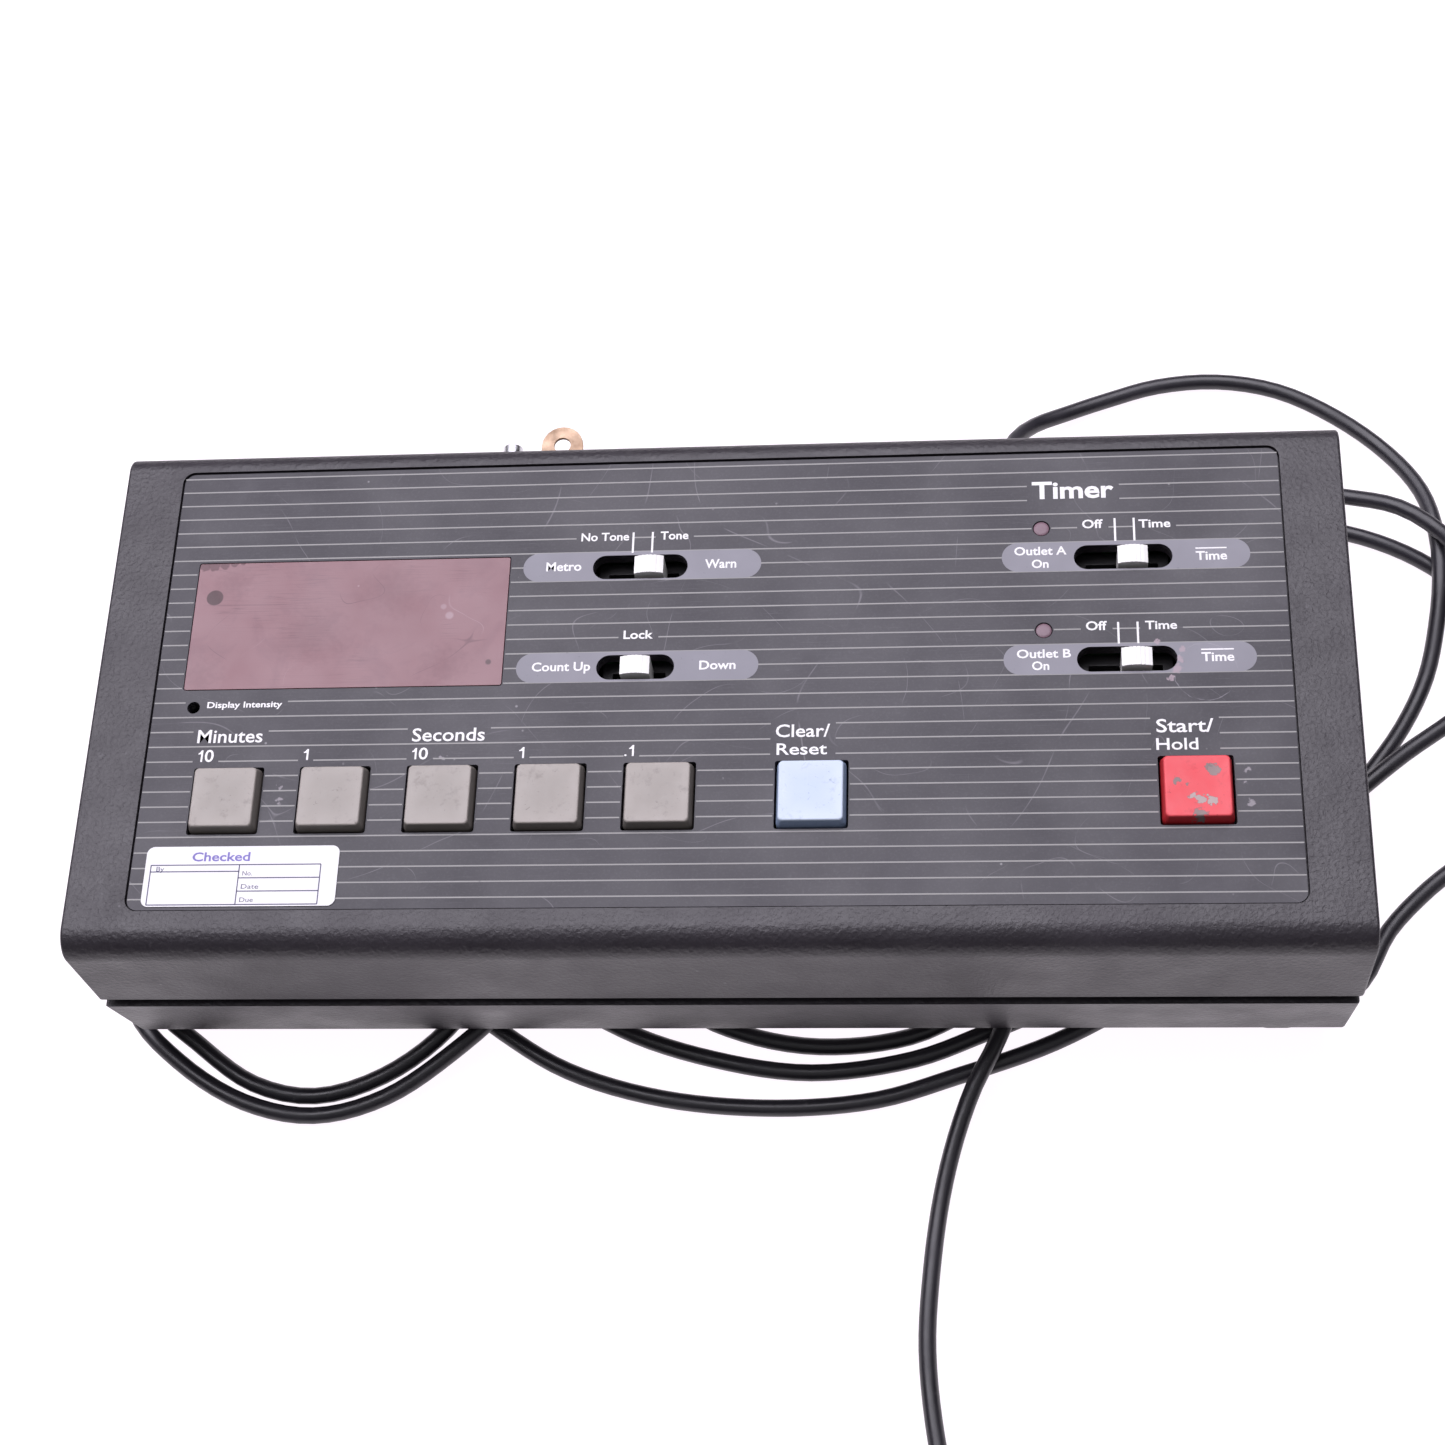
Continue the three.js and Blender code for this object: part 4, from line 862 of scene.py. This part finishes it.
def make_top_shell():
    """The shell: rolled front and back edges, a recess for the panel, and the panel's openings."""
    section = [(-66.9, 39.5)] + arc(-59.53, 63.45, 6.5, 180, 90, 18) + arc(60.95, 64.95, 5, 90, 0, 16)
    section.append((66.9, 39.5))
    shell = object_from(along_x(section, -147.8, 147.8, "top_shell_fine", 0.8), "top_shell_fine", CASE)
    inside = box_piece(
        (-145.2 * MM, -63.4 * MM + CASE_MIDDLE_Y, 30 * MM),
        (145.2 * MM, 63.4 * MM + CASE_MIDDLE_Y, ROOF * MM),
        "inside", CASE,
    )
    cut(shell, inside)
    width, depth = PANEL_SIZE
    recess = rounded_loop(0, PANEL_MIDDLE, width + 0.6, depth + 0.6, PANEL_CORNER + 0.3)
    cut(shell, object_from(ring_prism([recess], RECESS_FLOOR, 72, "recess"), "recess", CASE))
    window = rounded_loop(*WINDOW_MIDDLE, WINDOW_SIZE[0] - 4.4, WINDOW_SIZE[1] - 4.4, 0.6, 4)
    tools = [ring_prism([loop], ROOF - 2, 69.5, "hole") for loop in [window, *panel_holes()]]
    for name in ("outlet_socket_a", "outlet_socket_b"):
        low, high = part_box(name)
        inset = Vector((2 * MM, 0, 2.2 * MM))
        tools.append(box_mesh(low + inset, high - inset, "outlet_hole"))
    cut(shell, joined(tools, "holes", CASE))
    soften(shell, 0.22 * MM, 2)
    return settle(shell, "root", "case_plastic", "top_shell")


def make_base():
    base = refined("base_shell", CASE, 0.45 * MM, 3)
    return settle(base, "root", "case_plastic", "base_shell")


def make_panel():
    width, depth = PANEL_SIZE
    outline = rounded_loop(0, PANEL_MIDDLE, width, depth, PANEL_CORNER, 16)
    window = rounded_loop(*WINDOW_MIDDLE, WINDOW_SIZE[0] + 0.3, WINDOW_SIZE[1] + 0.3, 0.6, 5)
    mesh = ring_prism([outline, window, *panel_holes()], 68.6, 69.4, "overlay_panel_fine", 0.08)
    panel = object_from(mesh, "overlay_panel_fine", PANEL)
    smooth(panel, 50)
    return settle(panel, "root", "panel_print", "overlay_panel")


def make_window():
    outline = rounded_loop(*WINDOW_MIDDLE, *WINDOW_SIZE, 0.5, 5)
    mesh = ring_prism([outline], 68.6, 69.4, "display_window_fine", 0.08)
    window = object_from(mesh, "display_window_fine", WINDOW)
    smooth(window, 50)
    return settle(window, "root", "window_filter", "display_window")


make_top_shell()
make_base()
make_panel()
make_window()

# ---------------------------------------------------------------- print on the panel
INK_THICKNESS = 0.03
STRIPE_COUNT = 30
STRIPE_PITCH = 3.838
FIRST_STRIPE = 58.284
STRIPE_WIDTH = 0.34
PILL_DEPTH = 2 * STRIPE_PITCH
# The grey fields round the switches: left end, right end, middle.
PILLS = [(-46.3, 11.0, 31.42), (67.8, 125.3, 31.42), (-46.3, 11.0, 4.55), (67.8, 125.3, 4.55)]
# Detent marks: x, lower end, upper end.
TICKS = [
    (-20.0, 34.9, 40.5), (-15.35, 34.9, 40.5), (94.36, 35.3, 41.4), (98.8, 35.3, 41.4),
    (94.25, 8.3, 13.9), (98.68, 8.3, 13.9),
]
# Legends: words, left end, right end, baseline, height of a capital.
LEGENDS = [
    ("No Tone", -32.65, -21.03, 38.4, 2.1), ("Tone", -13.44, -6.69, 38.4, 2.1),
    ("Metro", -40.74, -32.2, 30.4, 2.3), ("Warn", -2.44, 5.06, 30.35, 2.3),
    ("Lock", -21.13, -14.12, 11.85, 2.1), ("Count Up", -42.55, -28.62, 3.7, 2.2),
    ("Down", -2.86, 5.68, 3.5, 2.2), ("Minutes", -121.33, -105.61, -13.65, 3.3),
    ("0", -119.0, -116.86, -18.55, 3.0),
    ("Seconds", -69.74, -52.5, -14.0, 3.25), ("0", -67.8, -65.63, -18.6, 2.9),
    ("Clear/", 15.48, 27.98, -14.2, 3.1), ("Reset", 15.76, 27.34, -18.65, 2.8),
    ("Start/", 101.89, 114.67, -14.3, 3.2), ("Hold", 101.71, 111.06, -18.64, 2.8),
    ("Display Intensity", -120.0, -101.8, -4.55, 1.5), ("Off", 86.76, 91.59, 38.9, 2.2),
    ("Time", 99.9, 107.3, 38.75, 2.1), ("Outlet A", 70.74, 82.93, 32.0, 2.1),
    ("On", 74.77, 78.69, 28.55, 2.1), ("Time", 112.78, 119.95, 29.8, 2.2),
    ("Off", 86.87, 91.68, 11.93, 2.2), ("Time", 100.41, 107.67, 11.9, 2.1),
    ("Outlet B", 70.86, 83.25, 5.0, 2.1), ("On", 74.3, 78.23, 1.9, 2.1),
    ("Time", 112.83, 120.22, 3.45, 2.2),
]
# Ones, with a flag, which the font's own lacks: left end, right end, baseline, height.
ONES = [
    (-120.6, -119.5, -18.55, 3.0), (-95.26, -94.1, -18.4, 2.8), (-69.4, -68.3, -18.6, 2.9),
    (-44.1, -42.9, -18.65, 2.8), (-18.4, -17.24, -18.5, 2.8),
]
DECIMAL_POINT = (-19.4, -18.95, -18.5, -18.05)
OVERLINES = [(112.78, 119.95, 32.9), (112.83, 120.22, 6.45)]
TITLE = ("Timer", 75.2, 94.4, 47.2, 4.4)


def text_mesh(words, weight=0.0, shear=0.0):
    """Flat letters one unit high, in the font that Blender carries."""
    curve = bpy.data.curves.new(words, "FONT")
    curve.body = words
    curve.offset = weight
    curve.shear = shear
    curve.resolution_u = 3
    curve.extrude = INK_THICKNESS * MM / 2
    maker = bpy.data.objects.new(words, curve)
    scene.collection.objects.link(maker)
    bpy.context.view_layer.update()
    mesh = bpy.data.meshes.new_from_object(maker.evaluated_get(bpy.context.evaluated_depsgraph_get()))
    bpy.data.objects.remove(maker)
    return mesh


def extent(mesh, axis):
    values = [v.co[axis] for v in mesh.vertices]
    return min(values), max(values)


CAPITAL = extent(text_mesh("H"), 1)[1]


def legend(words, left, right, baseline, capital, level, weight=0.0, shear=0.0):
    """Letters from left to right on the baseline, all in millimetres, with their top at the level."""
    mesh = text_mesh(words, weight, shear)
    low, high = extent(mesh, 0)
    wide = (right - left) * MM / (high - low)
    tall = capital * MM / CAPITAL
    place = Matrix.Translation((left * MM - low * wide, baseline * MM + CASE_MIDDLE_Y, level))
    mesh.transform(place @ Matrix.Diagonal((wide, tall, 1, 1)))
    return mesh


INK_LEVEL = PANEL_TOP + INK_THICKNESS * MM / 2 - 0.005 * MM


def ink_box(left, right, low, high, level=69.4):
    return box_mesh(
        (left * MM, low * MM + CASE_MIDDLE_Y, (level - 0.005) * MM),
        (right * MM, high * MM + CASE_MIDDLE_Y, (level + INK_THICKNESS - 0.005) * MM), "ink",
    )


def one_mesh(left, right, baseline, height):
    """The figure 1: a stem with a flag to its left."""
    stem = 0.44
    top = baseline + height
    loop = [
        (right - stem, baseline), (right, baseline), (right, top), (right - 0.8 * stem, top),
        (left + 0.25, top - 0.24 * height), (left, top - 0.26 * height), (left, top - 0.37 * height),
        (right - stem, top - 0.33 * height),
    ]
    return ring_prism([loop], 69.396, 69.44, "one")


def text_blocks():
    """The fields that the stripes keep clear of, as (left, right, low, high)."""
    blocks = []
    for _, left, right, baseline, capital in [*LEGENDS, TITLE]:
        blocks.append((left - 1.2, right + 1.3, baseline - 0.6, baseline + capital + 0.5))
    for left, right, baseline, height in ONES:
        blocks.append((left - 1.2, right + 1.3, baseline - 0.6, baseline + height + 0.5))
    blocks.append((14.3, 29.3, -19.2, -10.6))
    blocks.append((100.6, 115.9, -19.2, -10.6))
    for left, right, y in PILLS:
        blocks.append((left, right, y - PILL_DEPTH / 2 + 0.5, y + PILL_DEPTH / 2 - 0.5))
    for x in KEY_X.values():
        half = KEY_HOLE / 2 + 0.35
        blocks.append((x - half, x + half, KEY_ROW - half, KEY_ROW + half))
    half_x = WINDOW_SIZE[0] / 2 + 0.45
    half_y = WINDOW_SIZE[1] / 2 + 0.2
    x, y = WINDOW_MIDDLE
    blocks.append((x - half_x, x + half_x, y - half_y, y + half_y))
    for x, y in LENSES.values():
        blocks.append((x - 2.3, x + 2.3, y - 2, y + 2))
    x, y = TRIMMER
    blocks.append((x - 2.1, x + 2.1, y - 2, y + 2))
    return blocks


def make_stripes():
    blocks = text_blocks()
    half = PANEL_SIZE[0] / 2 - 0.15
    meshes = []
    for row in range(STRIPE_COUNT):
        y = FIRST_STRIPE - row * STRIPE_PITCH
        here = sorted((left, right) for left, right, low, high in blocks if low < y < high)
        start = -half
        for left, right in [*here, (half, half)]:
            if left > start + 0.3:
                meshes.append(ink_box(start, left, y - STRIPE_WIDTH / 2, y + STRIPE_WIDTH / 2))
            start = max(start, right)
    stripes = joined(meshes, "panel_stripes", STRIPE_INK)
    return settle(stripes, "root", "panel_print")


def make_pills():
    meshes = []
    for (left, right, y), (x, slot_y, length) in zip(PILLS, (SLOTS["tone"], SLOTS["outlet_a"], SLOTS["count"],
                                                             SLOTS["outlet_b"])):
        outline = slot_loop((left + right) / 2, y, right - left, PILL_DEPTH, 24)
        hole = slot_loop(x, slot_y, length + 0.1, SLOT_DEPTH + 0.1, 16)
        meshes.append(ring_prism([outline, hole], 69.396, 69.43, "pill"))
    pills = joined(meshes, "panel_pills", PILL_INK)
    return settle(pills, "root", "panel_print")


def make_legends():
    over_pill = INK_LEVEL + 0.02 * MM
    meshes = [legend(*entry, over_pill, 0.011 if entry[4] > 2.5 else 0.02) for entry in LEGENDS]
    meshes.append(legend(*TITLE, over_pill, 0.026))
    meshes += [one_mesh(*entry) for entry in ONES]
    meshes.append(ink_box(*DECIMAL_POINT, 69.42))
    meshes += [ink_box(x - 0.24, x + 0.24, low, high, 69.42) for x, low, high in TICKS]
    meshes += [ink_box(left, right, y - 0.17, y + 0.17, 69.42) for left, right, y in OVERLINES]
    legends = joined(meshes, "panel_legends", LEGEND_INK)
    return settle(legends, "root", "panel_print")


make_stripes()
make_pills()
make_legends()

# ---------------------------------------------------------------- label
LABEL_SIZE = (45.5, 14.8)
LABEL_MIDDLE = (-106.9, -47.5)


def make_label():
    """A thin stuck-on film with a heading and an empty form printed on it."""
    x, y = LABEL_MIDDLE
    wide, deep = LABEL_SIZE
    outline = rounded_loop(x, y, wide, deep, 1.8, 12)
    film = object_from(ring_prism([outline], 69.5, 69.65, "label_film", 0.03), "label_film", LABEL)
    smooth(film, 50)
    settle(film, "root", "label_film", "asset_label")
    left = x - wide / 2
    top = y + deep / 2

    def across(share):
        return left + wide * share

    def down(share):
        return top - deep * share

    level = 69.65
    line = 0.13
    rules = [
        ink_box(across(start), across(end), down(row) - line, down(row) + line, level)
        for row, start, end in (
            (0.31, 0.03, 0.91), (0.97, 0.03, 0.91), (0.42, 0.03, 0.49), (0.53, 0.49, 0.91),
            (0.75, 0.49, 0.91),
        )
    ]
    rules += [
        ink_box(across(column) - line, across(column) + line, down(0.97), down(0.31), level)
        for column in (0.03, 0.49, 0.91)
    ]
    ink_level = (level + 0.01) * MM
    for words, start, end, row in (
        ("By", 0.06, 0.10, 0.41), ("No.", 0.51, 0.56, 0.49),
        ("Date", 0.51, 0.60, 0.71), ("Due", 0.51, 0.58, 0.93),
    ):
        rules.append(legend(words, across(start), across(end), down(row), 1.1, ink_level))
    form = joined(rules, "label_form", LABEL_INK)
    settle(form, "root", "label_film")
    letters = legend("Checked", across(0.24), across(0.54), down(0.245), 2.1, ink_level, 0.02)
    heading = object_from(letters, "label_heading", LABEL_HEADING)
    settle(heading, "root", "label_film")


make_label()


# ---------------------------------------------------------------- keys and knobs
def make_key(name, material, slot):
    """A keycap: straight skirt, sloping sides, rounded shoulders and a slightly dished top."""
    x = KEY_X[name] * MM
    y = KEY_ROW * MM + CASE_MIDDLE_Y
    stations = [
        (64.4, 15.4, 0.8), (64.6, 15.9, 1.0), (69.0, 15.9, 1.0), (69.4, 15.8, 1.0), (71.4, 14.95, 1.05),
        (71.7, 14.78, 1.05), (71.86, 14.6, 1.0), (71.95, 14.35, 0.95), (72.0, 14.05, 0.9),
        (71.98, 13.6, 0.85),
        (71.95, 12.2, 0.8), (71.88, 9.6, 0.7), (71.82, 6.4, 0.6), (71.79, 3.0, 0.4), (71.78, 1.0, 0.2),
    ]
    rings = []
    for height, width, corner in stations:
        loop = rounded_loop(x, y, width * MM, width * MM, corner * MM, 8)
        rings.append([(a, b, height * MM) for a, b in loop])
    cap = object_from(loft_mesh(rings, f"keycap_{name}"), f"keycap_{name}", material)
    stem = box_piece(
        (x - 1.7 * MM, y - 1.7 * MM, 58.2 * MM), (x + 1.7 * MM, y + 1.7 * MM, 65 * MM), "stem", material,
    )
    cut(cap, stem, "UNION")
    smooth(cap, 38)
    return settle(cap, f"key_{name}", slot, f"key_{name}")


def make_knob(name):
    """A slide knob with a crown that arches across and fine ribs to push on."""
    low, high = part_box(f"slider_{name}")
    middle_x = (low.x + high.x) / 2 / MM
    middle_y = (low.y + high.y) / 2
    half = 6.95 / 2
    top = high.z / MM
    crown = 0.7
    ribs = 6
    pitch = (2 * half - 1.0) / ribs
    loop = [(middle_x - half, 62.6), (middle_x - half, top - crown - 0.05)]
    for rib in range(ribs):
        start = -half + 0.5 + rib * pitch
        for share, lift in ((0.0, -0.14), (0.16, -0.02), (0.5, 0.0), (0.84, -0.02)):
            x = start + share * pitch
            arch = crown * (x / half) ** 2
            loop.append((middle_x + x, top - arch + lift))
    loop += [(middle_x + half, top - crown - 0.05), (middle_x + half, 62.6)]
    mesh = flat_mesh([[(x * MM, z * MM) for x, z in loop]], -2.35 * MM, 2.35 * MM, f"knob_{name}", 0.12 * MM)
    mesh.transform(Matrix(((1, 0, 0, 0), (0, 0, -1, middle_y), (0, 1, 0, 0), (0, 0, 0, 1))))
    knob = object_from(mesh, f"knob_{name}", WHITE)
    stem = box_piece(
        (middle_x * MM - 1.3 * MM, middle_y - 1.3 * MM, low.z),
        (middle_x * MM + 1.3 * MM, middle_y + 1.3 * MM, 63 * MM),
        "stem", WHITE,
    )
    cut(knob, stem, "UNION")
    smooth(knob, 40)
    return settle(knob, f"slider_{name}", "white_plastic", f"slider_{name}")


for key in KEY_NAMES[:5]:
    make_key(key, KEY_GREY, "key_grey")
make_key("clear", KEY_BLUE, "key_blue")
make_key("start", KEY_RED, "key_red")
for knob_name in SWITCH_NAMES:
    make_knob(knob_name)


# ---------------------------------------------------------------- lenses, feet, screws and the rest
def make_lens(name):
    """A small domed indicator lens on a flange."""
    low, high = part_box(f"status_lens_{name}")
    centre = (low + high) / 2
    top = high.z / MM
    profile = [(0, 53.9), (2.2, 53.9), (2.2, 54.4), (1.85, 54.6), (1.85, top - 0.35)]
    profile += [(1.8, top - 0.2), (1.6, top - 0.09), (1.1, top - 0.03), (0, top)]
    mesh = lathe_mesh([(r * MM, h * MM) for r, h in profile], f"lens_{name}", 40)
    mesh.transform(Matrix.Translation((centre.x, centre.y, 0)))
    lens = object_from(mesh, f"lens_{name}", LENS)
    smooth(lens)
    return settle(lens, "root", "status_lens", f"status_lens_{name}")


def make_foot(name):
    """A rubber foot with a soft rim, a shallow dish under it and the stem that plugs it into the base."""
    low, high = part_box(f"foot_{name}")
    centre = (low + high) / 2
    profile = [
        (0, 0.7), (4.6, 0.7), (5.0, 0.35), (5.4, 0.05), (6.4, 0), (7.2, 0.25), (7.75, 0.9), (8.0, 2.0),
        (7.9, 4.0), (7.6, 6.2), (7.35, 8.6), (7.2, 9.4), (6.8, 9.7), (2.4, 9.7), (2.4, 14.3),
        (2.2, 14.5), (0, 14.5),
    ]
    mesh = lathe_mesh([(r * MM, h * MM) for r, h in profile], f"rubber_foot_{name}", 48)
    mesh.transform(Matrix.Translation((centre.x, centre.y, 0)))
    foot = object_from(mesh, f"rubber_foot_{name}", FOOT)
    smooth(foot)
    return settle(foot, "root", "foot_rubber", f"foot_{name}")


for lens_name in LENSES:
    make_lens(lens_name)
for corner in CORNER_NAMES:
    make_foot(corner)

DIGITS = plastic_material("display_digits", (0.030, 0.006, 0.008), 0.25)
TRIMMER_BLUE = plastic_material("trimmer_blue", (0.020, 0.075, 0.30), 0.4)
CORE = metal_material("laminated_core", (0.22, 0.21, 0.21), 0.55, (0.25, 0.13, 0.07))
WINDING = plastic_material("coil_winding", (0.42, 0.20, 0.045), 0.35, 0.0004)
RELAY = plastic_material("relay_case", (0.70, 0.42, 0.05), 0.3)

# Pieces that keep their CAD shape with softened edges: node, body, slot, material, and edge radius
# in millimetres.
SOFTENED = [
    ("ground_lug", "root", "brass_plate", LUG_BRASS, 0.18),
    ("lug_screw", "root", "zinc_steel", STEEL, 0.2),
    ("outlet_socket_a", "root", "outlet_plastic", OUTLET, 0.35),
    ("outlet_socket_b", "root", "outlet_plastic", OUTLET, 0.35),
    ("panel_board", "root", "circuit_board", BOARD, 0.1),
    ("power_board", "root", "circuit_board", BOARD, 0.1),
    ("display_module", "root", "display_digits", DIGITS, 0.15),
    ("intensity_trimmer", "root", "trimmer_blue", TRIMMER_BLUE, 0.15),
    ("intensity_rotor", "intensity_rotor", "white_plastic", WHITE, 0.1),
    ("transformer_core", "root", "laminated_core", CORE, 0.2),
    ("transformer_coil", "root", "coil_winding", WINDING, 0.4),
    ("relay_a", "root", "relay_case", RELAY, 0.4),
    ("relay_b", "root", "relay_case", RELAY, 0.4),
    ("beeper", "root", "black_plastic", BLACK, 0.4),
]
SOFTENED += [(f"case_screw_{corner}", "root", "zinc_steel", STEEL, 0.15) for corner in CORNER_NAMES]
SOFTENED += [(f"key_switch_{key}", "root", "black_plastic", BLACK, 0.2) for key in KEY_NAMES]
SOFTENED += [(f"slide_switch_{switch}", "root", "black_plastic", BLACK, 0.2) for switch in SWITCH_NAMES]
for node, body, slot, material, radius in SOFTENED:
    settle(refined(node, material, radius * MM), body, slot, node)


# ---------------------------------------------------------------- floor, light and world
def make_floor():
    """A white bench, lit from beneath about the timer and dim far from it."""
    material = bpy.data.materials.new("floor")
    material.use_nodes = True
    shader = material.node_tree.nodes["Principled BSDF"]
    shader.inputs["Base Color"].default_value = (0.22, 0.22, 0.22, 1)
    shader.inputs["Roughness"].default_value = 0.7
    shader.inputs["Emission Color"].default_value = (1, 0.93, 1, 1)
    nodes, links = material.node_tree.nodes, material.node_tree.links
    away = nodes.new("ShaderNodeVectorMath")
    away.operation = "LENGTH"
    fall = nodes.new("ShaderNodeMapRange")
    fall.inputs["From Min"].default_value = 0.45
    fall.inputs["From Max"].default_value = 0.8
    fall.inputs["To Min"].default_value = 1.02
    fall.inputs["To Max"].default_value = 0.12
    links.new(nodes.new("ShaderNodeTexCoord").outputs["Object"], away.inputs[0])
    links.new(away.outputs["Value"], fall.inputs["Value"])
    links.new(fall.outputs[0], shader.inputs["Emission Strength"])
    floor = box_piece((-2, -2, -0.01), (2, 2, 0), "floor", material)


def make_light(name, place, aim, size, watts, color=(1, 1, 1)):
    data = bpy.data.lights.new(name, "AREA")
    data.shape = "RECTANGLE"
    data.size, data.size_y = size
    data.energy = watts
    data.color = color
    light = bpy.data.objects.new(name, data)
    turn = (Vector(aim) - Vector(place)).to_track_quat("-Z", "Y").to_matrix().to_4x4()
    light.matrix_world = Matrix.Translation(place) @ turn
    scene.collection.objects.link(light)


def make_world():
    """A bright sky overhead that falls to a dim horizon."""
    world = bpy.data.worlds.new("studio")
    world.use_nodes = True
    nodes, links = world.node_tree.nodes, world.node_tree.links
    place = nodes.new("ShaderNodeTexCoord")
    parts = nodes.new("ShaderNodeSeparateXYZ")
    rise = nodes.new("ShaderNodeMapRange")
    rise.inputs["From Min"].default_value = 0.45
    rise.inputs["From Max"].default_value = 0.85
    rise.inputs["To Min"].default_value = 0.03
    rise.inputs["To Max"].default_value = 0.40
    links.new(place.outputs["Generated"], parts.inputs[0])
    links.new(parts.outputs["Z"], rise.inputs["Value"])
    links.new(rise.outputs[0], nodes["Background"].inputs["Strength"])
    nodes["Background"].inputs["Color"].default_value = (0.97, 0.96, 1.0, 1)
    scene.world = world


make_floor()
make_light("overhead", (-0.2, 0.5, 1.25), (0, 0, 0.05), (1.9, 1.15), 29, (0.935, 0.90, 1.0))
make_world()
scene.view_settings.view_transform = "Standard"
